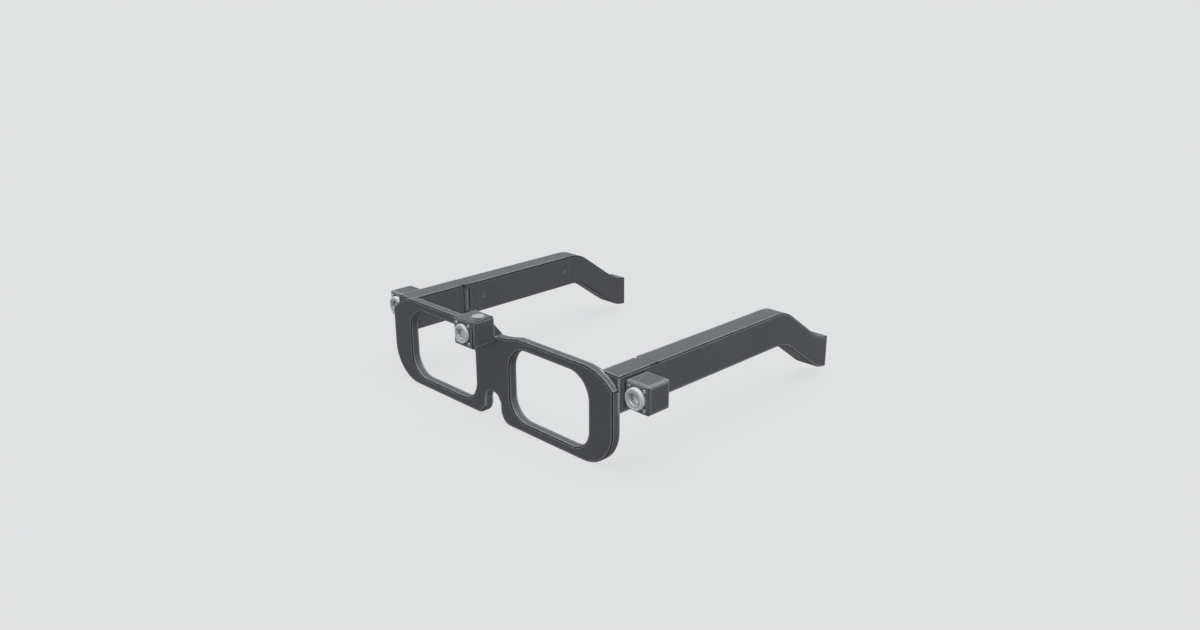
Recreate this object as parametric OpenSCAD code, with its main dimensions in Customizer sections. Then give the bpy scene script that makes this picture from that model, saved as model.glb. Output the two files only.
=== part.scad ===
// Camera glasses: a rigid front with three cameras, and two temples that fold behind it.
// +X is across to the right-hand side of the photograph, the front looks towards -Y, +Z is up.
// Sizes are millimetres. Heights start at the underside of the front, and inside the modules
// depths start at its front face.

/* [Front] */
// Width of the front
front_w = 150; // [144:1:158]
// Height of the front
front_h = 42.7; // [41.5:0.1:45]
// Thickness of the front
front_t = 4.4; // [4:0.1:6]
// Radius of the upper outer corners, which the sides cut short
upper_corner_r = 23.5; // [20:0.5:26]
// From each side in to the middle of the upper corner's curve
upper_corner_in = 17.2; // [15:0.1:19]
// Radius of the lower outer corners
lower_corner_r = 17; // [12:0.5:18]
// Width of the dip in the top edge over the nose
saddle_w = 35; // [30:1:40]
// Depth of that dip
saddle_depth = 2.4; // [1.6:0.1:2.8]

/* [Lens openings] */
// Width of each opening
opening_w = 49.6; // [45:0.1:50]
// Height of each opening
opening_h = 34.3; // [30:0.1:34.4]
// Distance between the two openings
bridge_w = 23.4; // [22:0.1:26]
// Height of the rim under the openings
rim_low = 4.2; // [3.5:0.1:4.4]
// Radius of the upper corners of an opening
opening_top_r = 11.5; // [8:0.5:14]
// Radius of the lower corners of an opening
opening_low_r = 10.5; // [6:0.5:14]

/* [Nose notch] */
// Width of the notch
notch_w = 11; // [9:0.5:12]
// Height of the notch
notch_h = 13.2; // [12:0.1:20]
// Radius of the flare at its foot
notch_flare_r = 5.7; // [3:0.1:6]

/* [Temples] */
// Width of a temple, seen from above
temple_w = 10.8; // [10:0.1:12]
// Height of a temple
temple_h = 16; // [15:0.1:17]
// From the top of the front down to the top of a temple
temple_drop = 1.6; // [1:0.1:2.4]
// From the front face back to the end of a temple
temple_reach = 152.1; // [148:0.1:160]
// Length of the bent end of a temple
bend_run = 42.6; // [38:0.1:46]
// How far the bend lowers the end
bend_drop = 21.4; // [16:0.1:22]
// Radius of the two curves of the bend
bend_r = 19.7; // [14:0.1:20]
// How far the side bars are let into the back of the front
lap = 0.9; // [0.5:0.1:1.2]

/* [Shells] */
// Wall of a side bar
wall = 1.4; // [1.2:0.1:1.6]
// Thickness of an inner cover
cover_t = 1.2; // [1:0.1:1.4]
// Ledge that a cover seats on
ledge = 0.7; // [0.5:0.05:0.8]
// Clearance round a piece that is let in
fit_gap = 0.05; // [0.03:0.01:0.1]

/* [Hinges] */
// Seam between a fixed bar and its temple
seam = 0.3; // [0.2:0.05:0.4]
// Radius of the round ear that closes the inner corner
ear_r = 2.6; // [2.4:0.1:2.8]
// Height of each plastic ear, over and under the metal knuckles
ear_h = 2.2; // [1.8:0.1:2.4]
// From a side camera's back to the right hinge line
hinge_behind = 6.2; // [5.8:0.1:9]
// Room between the two temples when both are folded
fold_gap = 0.7; // [0.5:0.1:1.5]
// Radius of the hinge pins
pin_r = 0.8; // [0.6:0.05:0.9]
// Running clearance of the pins in the knuckles of the fixed leaves
pin_gap = 0.04; // [0.02:0.01:0.08]
// Thickness of the hinge leaves
leaf_t = 1.4; // [1:0.1:1.6]
// Length of each leaf that its bar grips
leaf_grip = 5; // [4.4:0.1:5]

/* [Side cameras] */
// Edge length of a side camera's cubic housing
side_cam = 13; // [12.4:0.1:13.6]
// Radius of its edges
side_edge_r = 1.7; // [1:0.1:1.7]
// From the front face of the glasses back to its face
side_cam_y = 6.8; // [6:0.1:9]
// Outer radius of its lens barrel
side_lens_r = 4.7; // [4.3:0.1:4.8]
// How far the barrel stands out of its face
side_lens_out = 1.9; // [1.2:0.1:2.4]

/* [Bridge camera] */
// Width of the bridge camera's housing
bridge_cam_w = 13.2; // [13:0.1:14]
// Depth of the housing
bridge_cam_d = 12; // [11.8:0.1:13]
// Height of the housing
bridge_cam_h = 12.7; // [12.5:0.1:13.5]
// From the middle of the front across to the middle of the housing
bridge_cam_x = -4.1; // [-5:0.1:-3]
// How far it rises over the top of the front
bridge_cam_rise = 6.8; // [6.6:0.1:7]
// Radius of its edges
bridge_edge_r = 1.2; // [0.8:0.1:1.3]
// Outer radius of its lens barrel
bridge_lens_r = 4.3; // [4:0.1:4.5]
// How far the barrel stands out of its face
bridge_lens_out = 1.45; // [1:0.05:2]
// From the housing's underside up to the top of the rear wedge
wedge_h = 9.3; // [8:0.1:9.4]

/* [Button] */
// Radius of the button
button_r = 2.8; // [2.4:0.1:2.9]
// How far the button stands out at rest
button_out = 0.8; // [0.6:0.1:1.2]
// Travel of the button
button_travel = 0.4; // [0.3:0.05:0.5]
// From the housing's middle across to the button
button_x = 2.75; // [2:0.05:2.8]
// From the housing's back forward to the button
button_y = 5.5; // [5.3:0.1:5.6]

/* [Hidden] */
$fn = 64;
over = 1;          // how far a cutter runs past the face that it opens

// Sides of the bars and places along them
side_x = front_w / 2;
inner_x = side_x - temple_w;
bar_z = front_h - temple_drop - temple_h;
bar_mid_z = bar_z + temple_h / 2;
bar_y = front_t - lap;
pivot_x = inner_x + ear_r;
right_hinge_y = side_cam_y + side_cam + hinge_behind;
left_hinge_y = right_hinge_y + temple_w + fold_gap;
bend_y = temple_reach - bend_run;
block = ear_r + seam + leaf_grip;    // solid stretch on each side of a hinge line

// Hinge knuckles
knuckles = 5;
hinge_h = temple_h - 2 * ear_h;
knuckle_h = hinge_h / knuckles;
knuckle_r = ear_r - seam;
knuckle_gap = 0.05;

// Saddle and the cable channel in the back of the brow
saddle_r = (pow(saddle_w / 2, 2) + pow(saddle_depth, 2)) / (2 * saddle_depth);
saddle_z = front_h - saddle_depth;
opening_x = bridge_w / 2;
opening_top = rim_low + opening_h;
brow_z = (opening_top + front_h) / 2 - 0.4;
channel_d = 0.8;
channel_w = 1.3;
ribbon_t = 0.3;
ribbon_w = 1.1;
brow_t = 0.8;
brow_w = 2.2;
ribbon_end_z = bar_mid_z + 2.9;
ribbon_end_x = side_x - 6.6;
ribbon_tab_w = 3;
bridge_path_x = opening_x - 2.7;
bridge_path_z = brow_z - 3.2;
half_path = [[bridge_path_x, bridge_path_z], [opening_x + 6.5, brow_z],
             [side_x - 18, brow_z], [ribbon_end_x, ribbon_end_z]];
brow_path = concat([for (i = [3 : -1 : 0]) [-half_path[i][0], half_path[i][1]]], half_path);

// Bridge camera
cam_low = front_h + bridge_cam_rise - bridge_cam_h;
cam_mid_z = cam_low + bridge_cam_h / 2;
cam_top = cam_low + bridge_cam_h;
cam_wall = 1.4;
bracket_plate_t = 1.2;
pad_low = cam_low - 1.6;
pad_high = saddle_z - 0.6;
fixing_z = pad_high - 1.2;
fixing_x = bridge_cam_w / 2 - cam_wall - 0.9;
fixing_hole_r = 0.55;
slot_z = fixing_z + 0.5;

// Lenses and boards
tube_inset = 1.1;
tube_len = 4;
side_tube_len = 6;
glass_share = 0.5;
cone_depth = 0.9;
glass_t = 1.1;
board_t = 0.8;
face_screw_at = 4.1;
face_screw_r = 0.8;
side_wall = side_edge_r + 0.1;
side_board_y = side_cam_y + side_tube_len;
tab_w = 4;
tab_end_x = side_x - 3.3;
link_stand = 2.8;
link_x = side_x - wall - link_stand;

// Bars
front_wall = 1.8;
cavity_y = bar_y + front_wall;
right_end_y = right_hinge_y - block;
left_end_y = left_hinge_y - block;
temple_cavity_end = bend_y - 3;
contact_x = side_x - wall - 1.8;
contact_step = 3;
pad_r = 0.9;
contact_r = 0.7;
post_r = 1.6;
post_in = 2.2;
board_rail = 0.6;
charge_step = 3.2;

// Button and switch
neck_r = 1.1;
neck_gap = 0.08;
neck_len = cam_wall + 0.45;
button_floor = 0.8;
switch_w = 3.4;
switch_h = 1.3;
button_at_x = bridge_cam_x + button_x;

// The row's origin lies under the middle of the whole, on the level of the rims' undersides
reach_out = bridge_cam_d + bridge_lens_out;
mid_y = (temple_reach - reach_out) / 2;

// Colours
body_grey = [0.27, 0.27, 0.28];
ring_grey = [0.70, 0.72, 0.74];
glass_grey = [0.35, 0.37, 0.39];
steel_grey = [0.62, 0.63, 0.65];
board_green = [0.08, 0.30, 0.16];
gold = [0.83, 0.68, 0.32];

module placed() {
    translate([0, -mid_y, 0]) children();
}

// A right-hand piece, and its left-hand copy
module right_side() {
    placed() children();
}

module left_side() {
    placed() mirror([1, 0, 0]) children();
}

// What a round corner takes off a square one, with some spare outside
module corner_waste(at, r, into) {
    translate(at)
        difference() {
            translate([into[0] > 0 ? -over : -r, into[1] > 0 ? -over : -r]) square(r + over);
            translate([into[0] * r, into[1] * r]) circle(r);
        }
}

module rounded(w, h, r) {
    square([w - 2 * r, h], center = true);
    square([w, h - 2 * r], center = true);
    for (sx = [-1, 1], sy = [-1, 1])
        translate([sx * (w / 2 - r), sy * (h / 2 - r)]) circle(r);
}

// A box with every edge rounded
module soft_box(size, r) {
    intersection() {
        linear_extrude(size[2], center = true) rounded(size[0], size[1], r);
        rotate([90, 0, 0]) linear_extrude(size[1], center = true) rounded(size[0], size[2], r);
        rotate([90, 0, 90]) linear_extrude(size[0], center = true) rounded(size[1], size[2], r);
    }
}

// Turns a flat outline of widths and heights into a slab from depth y0 to y1
module slab(y0, y1) {
    translate([0, y1, 0]) rotate([90, 0, 0]) linear_extrude(y1 - y0) children();
}

// A strip of even width along some points, with its corners mitred
function side_way(a, b) = [a[1] - b[1], b[0] - a[0]] / norm(b - a);

function beside(points, i, d) =
    let (last = len(points) - 1,
         before = side_way(points[max(i - 1, 0)], points[max(i, 1)]),
         after = side_way(points[min(i, last - 1)], points[min(i + 1, last)]))
    points[i] + d * (before + after) / (1 + before * after);

module track(points, w) {
    last = len(points) - 1;
    polygon(concat([for (i = [0 : last]) beside(points, i, w / 2)],
                   [for (i = [last : -1 : 0]) beside(points, i, -w / 2)]));
}

module both() {
    children();
    mirror([1, 0]) children();
}

// Front frame
module opening_shape() {
    difference() {
        square([opening_w, opening_h]);
        corner_waste([0, 0], opening_low_r, [1, 1]);
        corner_waste([opening_w, 0], opening_low_r, [-1, 1]);
        corner_waste([0, opening_h], opening_top_r, [1, -1]);
        corner_waste([opening_w, opening_h], opening_top_r, [-1, -1]);
    }
}

module nose_notch() {
    translate([0, notch_h - notch_w / 2]) circle(notch_w / 2);
    translate([-notch_w / 2, -over]) square([notch_w, notch_h - notch_w / 2 + over]);
    both() corner_waste([notch_w / 2, 0], notch_flare_r, [1, 1]);
}

module upper_corner_waste() {
    translate([side_x - upper_corner_in, front_h - upper_corner_r])
        difference() {
            square([upper_corner_in + over, upper_corner_r + over]);
            circle(upper_corner_r);
        }
}

module saddle_curve(clear = 0) {
    translate([0, saddle_z + saddle_r]) circle(saddle_r - clear, $fn = 256);
}

module front_outline() {
    difference() {
        translate([-side_x, 0]) square([front_w, front_h]);
        both() {
            corner_waste([side_x, 0], lower_corner_r, [-1, 1]);
            upper_corner_waste();
            translate([opening_x, rim_low]) opening_shape();
        }
        nose_notch();
        saddle_curve();
    }
}

// The cover's strip and the pad that the bridge camera's screws clamp
module brow_strip(y0, y1, grow) {
    slab(y0, y1) track(brow_path, brow_w + 2 * grow);
    slab(y0, y1) translate([bridge_cam_x - bridge_cam_w / 2 - grow, pad_low - grow])
        square([bridge_cam_w + 2 * grow, pad_high - pad_low + 2 * grow]);
}

module cable_channel(y0, y1) {
    slab(y0, y1) track(brow_path, channel_w);
    slab(y0, y1) translate([bridge_cam_x - 2.3, bridge_path_z])
        square([4.6, slot_z - bridge_path_z + 0.6]);
    slab(y0, y1) both() translate([ribbon_end_x - ribbon_tab_w / 2 - 0.2, ribbon_end_z - channel_w / 2])
        square([ribbon_tab_w + 0.4, channel_w]);
}

module fixing_places() {
    for (s = [-1, 1]) translate([bridge_cam_x + s * fixing_x, 0, fixing_z]) children();
}

module endpiece_screw_places() {
    for (z = [3.4, 8]) translate([side_x - temple_w / 2, 0, bar_z + z]) children();
}

// A round rod that points back along +Y from depth y0 to y1
module rod(y0, y1, r) {
    translate([0, y0, 0]) rotate([-90, 0, 0]) cylinder(r = r, h = y1 - y0);
}

module front_frame() {
    color(body_grey) placed()
        difference() {
            slab(0, front_t) front_outline();
            brow_strip(front_t - brow_t, front_t + over, fit_gap);
            cable_channel(front_t - brow_t - channel_d, front_t);
            for (s = [0, 1]) mirror([s, 0, 0]) {
                translate([inner_x - fit_gap, bar_y, bar_z - fit_gap])
                    cube([temple_w + fit_gap + over, front_t, temple_h + 2 * fit_gap]);
                endpiece_screw_places() rod(bar_y - 2.4, bar_y + over, 0.6 + fit_gap);
            }
            fixing_places() rod(-over, front_t + over, fixing_hole_r + fit_gap);
            translate([bridge_cam_x - 2.2, -over, slot_z - 0.5]) cube([4.4, front_t + 2 * over, 1]);
        }
}

module brow_cover() {
    color(body_grey) placed()
        difference() {
            brow_strip(front_t - brow_t, front_t, 0);
            slab(0, front_t + over) both() translate([inner_x - 2 * fit_gap, bar_z - 2 * fit_gap])
                square([temple_w, temple_h + 4 * fit_gap]);
            fixing_places() {
                rod(0, front_t + over, fixing_hole_r + fit_gap);
                rod(front_t - 0.4, front_t + over, 1 + fit_gap);
            }
        }
}

module front_ribbon() {
    ribbon_y = front_t - brow_t - channel_d;
    color([0.75, 0.42, 0.12]) placed() {
        slab(ribbon_y, ribbon_y + ribbon_t) track(brow_path, ribbon_w);
        slab(ribbon_y, ribbon_y + ribbon_t) translate([bridge_cam_x - 1.8, bridge_path_z])
            square([3.6, slot_z + ribbon_t / 2 - bridge_path_z]);
        translate([bridge_cam_x - 1.8, -bridge_cam_d + tube_len + board_t + fit_gap, slot_z - ribbon_t / 2])
            cube([3.6, bridge_cam_d - tube_len - board_t - fit_gap + ribbon_y + ribbon_t, ribbon_t]);
        for (s = [0, 1]) mirror([s, 0, 0])
            translate([ribbon_end_x - ribbon_tab_w / 2, ribbon_y, ribbon_end_z - ribbon_t / 2])
                cube([ribbon_tab_w, cavity_y + 3.7 - ribbon_y, ribbon_t]);
    }
}

// Camera pieces that all three share: the axis points out of the face along -Y
module lens_barrel(r, out, inside) {
    glass_r = r * glass_share;
    hole = r - tube_inset;
    rotate([90, 0, 0]) rotate_extrude()
        polygon([[glass_r + 0.3, -inside], [hole, -inside], [hole, 0], [r, 0], [r, out - 0.3],
                 [r - 0.3, out], [r - 0.8, out], [r - 0.9, out - 0.3], [glass_r + 0.5, out - cone_depth],
                 [glass_r, out - cone_depth], [glass_r, out - cone_depth - glass_t],
                 [glass_r - 0.4, out - cone_depth - glass_t],
                 [glass_r - 0.4, out - cone_depth - glass_t - 0.5],
                 [glass_r + 0.3, out - cone_depth - glass_t - 1.2]]);
}

module lens_glass(r, out) {
    glass_r = r * glass_share - 0.02;
    rotate([90, 0, 0]) translate([0, 0, out - cone_depth - glass_t])
        intersection() {
            cylinder(r = glass_r, h = glass_t + 0.5);
            translate([0, 0, glass_t + 0.5 - 2.4 * glass_r]) sphere(2.4 * glass_r);
        }
}

module face_screws() {
    for (sx = [-1, 1], sz = [-1, 1]) translate([sx * face_screw_at, 0, sz * face_screw_at]) {
        difference() {
            rod(-0.3, 0, face_screw_r);
            rod(-0.4, -0.15, 0.35);
        }
        rod(0, 1.2, 0.4);
    }
}

module face_screw_holes() {
    for (sx = [-1, 1], sz = [-1, 1]) translate([sx * face_screw_at, 0, sz * face_screw_at])
        rod(-over, 1.25, 0.4 + 0.02);
}

module sensor_board(w, glass_r) {
    translate([-w / 2, 0, -w / 2]) cube([w, board_t, w]);
    translate([-glass_r * 0.6, -0.7, -glass_r * 0.6])
        cube([glass_r * 1.2, 0.7 + board_t / 2, glass_r * 1.2]);
}

// Bridge camera
module at_bridge_face() {
    translate([bridge_cam_x, -bridge_cam_d, cam_mid_z]) children();
}

module button_place() {
    translate([button_at_x, -button_y, cam_top]) children();
}

module bridge_housing() {
    inner_w = bridge_cam_w - 2 * cam_wall;
    inner_h = bridge_cam_h - 2 * cam_wall;
    spare = 2 * bridge_edge_r;
    color(body_grey) placed()
        difference() {
            intersection() {
                translate([bridge_cam_x, (spare - bridge_cam_d) / 2, cam_mid_z])
                    soft_box([bridge_cam_w, bridge_cam_d + spare, bridge_cam_h], bridge_edge_r);
                translate([bridge_cam_x - bridge_cam_w, -bridge_cam_d - over, cam_low - over])
                    cube([2 * bridge_cam_w, bridge_cam_d + over, bridge_cam_h + 2 * over]);
            }
            difference() {
                translate([bridge_cam_x - inner_w / 2, cam_wall - bridge_cam_d, cam_low + cam_wall])
                    cube([inner_w, bridge_cam_d - cam_wall + over, inner_h]);
                for (s = [-1, 1]) {
                    translate([bridge_cam_x + s * bridge_cam_w / 2 - 3.1, -5, cam_low])
                        cube([6.2, 5 + 2 * over, fixing_z + 1.1 - cam_low]);
                    translate([bridge_cam_x + s * bridge_cam_w / 2 - 3.1, -3.9, cam_top - 3.1])
                        cube([6.2, 3.9 - bracket_plate_t, 3.1]);
                }
            }
            at_bridge_face() {
                rod(-over, cam_wall + over, bridge_lens_r - tube_inset + 0.02);
                face_screw_holes();
            }
            button_place() {
                translate([0, 0, -button_floor]) cylinder(r = button_r + 0.15, h = button_floor + over);
                translate([0, 0, -cam_wall - over]) cylinder(r = neck_r + neck_gap, h = cam_wall + over);
            }
            fixing_places() rod(-4, over, 0.4 + 0.02);
            bracket_screw_places() rod(-3.3, over, 0.4 + 0.02);
        }
}

module bracket_screw_places() {
    for (s = [-1, 1])
        translate([bridge_cam_x + s * fixing_x, 0, cam_top - cam_wall - 0.95]) children();
}

module bridge_bracket() {
    inner_w = bridge_cam_w - 2 * cam_wall - 2 * fit_gap;
    plate_low = fixing_z + 1.1 + fit_gap;
    color(body_grey) placed()
        difference() {
            union() {
                translate([bridge_cam_x - inner_w / 2, -bracket_plate_t, plate_low])
                    cube([inner_w, bracket_plate_t, cam_top - cam_wall - fit_gap - plate_low]);
                intersection() {
                    translate([bridge_cam_x - bridge_cam_w / 2, 0, 0]) rotate([90, 0, 90])
                        linear_extrude(bridge_cam_w)
                            polygon([[0, saddle_z - over], [front_t, saddle_z - over],
                                     [front_t, saddle_z + 0.3], [0, cam_low + wedge_h]]);
                    slab(-over, front_t + over) {
                        saddle_curve();
                        translate([-side_x, front_h]) square([front_w, 2 * bridge_cam_h]);
                    }
                }
            }
            bracket_screw_places() {
                rod(-bracket_plate_t - over, over, 0.45 + fit_gap);
                rod(-0.5, front_t, face_screw_r + fit_gap);
            }
        }
}

module bridge_lens_barrel() {
    color(ring_grey) placed() at_bridge_face()
        lens_barrel(bridge_lens_r, bridge_lens_out, tube_len);
}

module bridge_lens_glass() {
    color(glass_grey) placed() at_bridge_face() lens_glass(bridge_lens_r, bridge_lens_out);
}

module bridge_sensor_board() {
    color(board_green) placed() at_bridge_face() translate([0, tube_len, 0])
        sensor_board(min(bridge_cam_w, bridge_cam_h) - 2 * cam_wall - 0.3, bridge_lens_r * glass_share);
}

module bridge_face_screws() {
    color(ring_grey) placed() at_bridge_face() face_screws();
}

module bridge_fixing_screws() {
    color(steel_grey) placed() fixing_places() {
        rod(-3.9, front_t - 0.4, 0.4);
        rod(front_t - 0.4, front_t, 1);
    }
}

module bracket_screws() {
    color(steel_grey) placed() bracket_screw_places() {
        rod(-3.2, -0.5, 0.4);
        rod(-0.5, 0, face_screw_r);
    }
}

module shutter_button() {
    color(ring_grey) placed() button_place() {
        difference() {
            translate([0, 0, button_travel + 0.05 - button_floor])
                cylinder(r = button_r, h = button_floor - button_travel - 0.05 + button_out);
            translate([0, 0, button_out - 0.15]) cylinder(r = button_r - 0.7, h = over);
        }
        translate([0, 0, -neck_len]) {
            cylinder(r = neck_r, h = neck_len);
            cylinder(r = neck_r + 0.4, h = 0.4);
        }
    }
}

module shutter_switch() {
    top_z = -neck_len - button_travel - 0.03;
    board_y0 = -bridge_cam_d + tube_len + board_t;
    color([0.12, 0.12, 0.13]) placed() {
        button_place() translate([-switch_w / 2, -switch_w / 2 + 0.3, top_z - switch_h])
            cube([switch_w, switch_w - 0.6, switch_h]);
        translate([button_at_x - 3.2, board_y0, cam_top + top_z - switch_h - board_t])
            cube([5.4, -board_y0 - bracket_plate_t, board_t]);
    }
}

// Side cameras, written for the right-hand side
module at_side_face() {
    translate([side_x + side_cam / 2, side_cam_y, bar_mid_z]) children();
}

module side_screw_places() {
    reach = side_cam / 2 - side_wall - 1.3;
    for (s = [-1, 1])
        translate([side_x, side_cam_y + side_cam / 2 + reach, bar_mid_z + s * reach]) children();
}

// A round rod that points out along +X
module cross_rod(x0, x1, r) {
    translate([x0, 0, 0]) rotate([0, 90, 0]) cylinder(r = r, h = x1 - x0);
}

module camera_housing() {
    inner = side_cam - 2 * side_wall;
    boss = 2.6;
    difference() {
        translate([side_x + side_cam / 2, side_cam_y + side_cam / 2, bar_mid_z])
            soft_box([side_cam, side_cam, side_cam], side_edge_r);
        difference() {
            translate([side_x - over, side_cam_y + side_wall, bar_mid_z - inner / 2])
                cube([side_cam - side_wall + over, inner, inner]);
            for (s = [0, 1]) translate([0, 0, bar_mid_z]) mirror([0, 0, s])
                translate([side_x - 2 * over, side_cam_y + side_cam - side_wall - boss, inner / 2 - boss])
                    cube([9, boss + over, boss + over]);
        }
        at_side_face() {
            rod(-over, side_wall + over, side_lens_r - tube_inset + 0.02);
            face_screw_holes();
        }
        side_screw_places() cross_rod(-over, 4.1, 0.5 + 0.02);
    }
}

module side_sensor_board() {
    inner = side_cam - 2 * side_wall - 0.2;
    at_side_face() translate([0, side_tube_len, 0]) sensor_board(inner, side_lens_r * glass_share);
    translate([tab_end_x, side_board_y, bar_mid_z - tab_w / 2])
        cube([side_x + side_wall - tab_end_x + 0.3, board_t, tab_w]);
}

module camera_screws() {
    side_screw_places() {
        cross_rod(-wall, 4, 0.5);
        cross_rod(-wall - 0.8, -wall, 1.1);
    }
}

// Fixed bars and temples, written for the right-hand side; hinge_y is their hinge line
module at_pivot(hinge_y) {
    translate([pivot_x, hinge_y, 0]) children();
}

module cover_shape(y0, y1, grow) {
    translate([y0 - grow, bar_z + wall - grow])
        square([y1 - y0 + 2 * grow, temple_h - 2 * wall + 2 * grow]);
}

// Turns an outline of depths and heights into a slab between two widths
module side_slab(x0, x1) {
    translate([x0, 0, 0]) rotate([90, 0, 90]) linear_extrude(x1 - x0) children();
}

module contact_places() {
    for (i = [-1.5 : 1 : 1.5]) translate([contact_x, 0, bar_mid_z + i * contact_step]) children();
}

module leaf_slot(y0, y1) {
    translate([-leaf_t / 2 - fit_gap, y0, bar_mid_z - hinge_h / 2])
        cube([leaf_t + 2 * fit_gap, y1 - y0, hinge_h]);
}

module endpiece(hinge_y) {
    end_y = hinge_y - block;
    difference() {
        translate([inner_x, bar_y, bar_z]) cube([temple_w, hinge_y - seam / 2 - bar_y, temple_h]);
        difference() {
            side_slab(inner_x - over, side_x - wall) cover_shape(cavity_y, end_y, 0);
            for (s = [-1, 1]) translate([0, cavity_y + 2.2, bar_mid_z + s * 4.2])
                cross_rod(link_x, side_x, 1);
        }
        side_slab(inner_x - over, inner_x + cover_t) cover_shape(cavity_y, end_y, ledge);
        at_pivot(hinge_y) {
            translate([0, 0, bar_z - over]) cylinder(r = ear_r + seam, h = temple_h + 2 * over);
            translate([-ear_r - over, -ear_r - seam, bar_z - over])
                cube([ear_r + over, ear_r + seam + over, temple_h + 2 * over]);
            leaf_slot(-block - over, over);
        }
        contact_places() rod(end_y - over, hinge_y, pad_r + fit_gap);
        endpiece_screw_places() rod(0, cavity_y + over, 0.6 + fit_gap);
        side_screw_places() cross_rod(-wall - over, over, 0.5 + fit_gap);
        translate([side_x - wall - over, side_board_y - fit_gap, bar_mid_z - tab_w / 2 - fit_gap])
            cube([wall + 2 * over, board_t + 2 * fit_gap, tab_w + 2 * fit_gap]);
        translate([ribbon_end_x - ribbon_tab_w / 2 - 0.2, 0, ribbon_end_z - 0.5])
            cube([ribbon_tab_w + 0.4, cavity_y + over, 1]);
    }
}

module endpiece_cover(hinge_y) {
    side_slab(inner_x, inner_x + cover_t)
        cover_shape(cavity_y, hinge_y - block, ledge - fit_gap);
}

module endpiece_screws() {
    endpiece_screw_places() {
        rod(bar_y - 2.3, cavity_y, 0.6);
        rod(cavity_y, cavity_y + 0.9, 1.3);
    }
}

module link_board(hinge_y) {
    plug_y = cavity_y + 3.7 + fit_gap;
    translate([link_x - board_t, cavity_y + 1, bar_mid_z - 5.8])
        cube([board_t, hinge_y - block - cavity_y - 1.4, 11.6]);
    translate([link_x - board_t / 2, side_board_y - 0.5, bar_mid_z - tab_w / 2 - 0.4])
        cube([tab_end_x - fit_gap - link_x + board_t / 2, board_t + 1, tab_w + 0.8]);
    translate([link_x - board_t - 1.4, plug_y, ribbon_end_z - 1.4]) cube([1.4 + board_t / 2, 2, 2.8]);
}

module contact_pads(hinge_y) {
    contact_places() rod(hinge_y - block - 0.3, hinge_y - seam / 2, pad_r);
}

module knuckle(level) {
    translate([0, 0, bar_mid_z - hinge_h / 2 + level * knuckle_h + knuckle_gap]) children();
}

module hinge_leaf(levels, bore_gap) {
    difference() {
        union() {
            for (level = levels) knuckle(level) {
                cylinder(r = knuckle_r, h = knuckle_h - 2 * knuckle_gap);
                translate([-leaf_t / 2, -ear_r - 0.5, 0])
                    cube([leaf_t, ear_r + 0.5, knuckle_h - 2 * knuckle_gap]);
            }
            translate([-leaf_t / 2, 0.2 - block, bar_mid_z - hinge_h / 2 + knuckle_gap])
                cube([leaf_t, block - 0.2 - ear_r - 0.05, hinge_h - 2 * knuckle_gap]);
        }
        translate([0, 0, bar_z]) cylinder(r = pin_r + bore_gap, h = temple_h);
    }
}

module frame_leaf(hinge_y) {
    at_pivot(hinge_y) hinge_leaf([0 : 2 : knuckles - 1], pin_gap);
}

module temple_leaf(hinge_y) {
    at_pivot(hinge_y) mirror([0, 1, 0]) hinge_leaf([1 : 2 : knuckles - 1], 0.02);
}

module hinge_pin(hinge_y) {
    at_pivot(hinge_y) {
        translate([0, 0, bar_z + 0.2])
            difference() {
                cylinder(r = 1.3, h = 0.8);
                translate([-0.2, -2, -0.1]) cube([0.4, 4, 0.4]);
            }
        translate([0, 0, bar_z + 1]) cylinder(r = pin_r, h = temple_h - ear_h + 0.3);
    }
}

// Side view of a temple: everything under a line that runs level, bends down and runs level again
function bend_angle() =
    let (s = sqrt(pow(bend_run, 2) + pow(bend_drop, 2) - 4 * bend_r * bend_drop))
    atan2(2 * bend_r, s) - atan2(2 * bend_r - bend_drop, bend_run);

// What rounds the corner of the line off, or fills it: the kite between two radii, less the circle
module bend_bit(corner, centre, angle_a, angle_b) {
    out_a = [cos(angle_a), sin(angle_a)];
    out_b = [cos(angle_b), sin(angle_b)];
    difference() {
        polygon([centre, centre + (bend_r + over) * out_a, corner + over * (out_a + out_b) / 2,
                 centre + (bend_r + over) * out_b]);
        translate(centre) circle(bend_r, $fn = 128);
    }
}

module under_line(top, y0, spare) {
    a = bend_angle();
    cut = bend_r * tan(a / 2);
    low = bar_z - bend_drop - spare;
    first = [bend_y + cut, top];
    last = [temple_reach - cut, top - bend_drop];
    difference() {
        polygon([[y0 - spare, low], [y0 - spare, top], first, last,
                 [temple_reach + spare, top - bend_drop], [temple_reach + spare, low]]);
        bend_bit(first, [bend_y, top - bend_r], 90, 90 - a);
    }
    bend_bit(last, [temple_reach, top - bend_drop + bend_r], -90, -90 - a);
}

module temple_profile(y0) {
    difference() {
        under_line(bar_z + temple_h, y0, 0);
        under_line(bar_z, y0, 5);
    }
}

module post_places(hinge_y) {
    for (y = [hinge_y + block + post_in, temple_cavity_end - post_in])
        translate([0, y, bar_mid_z]) children();
}

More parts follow.
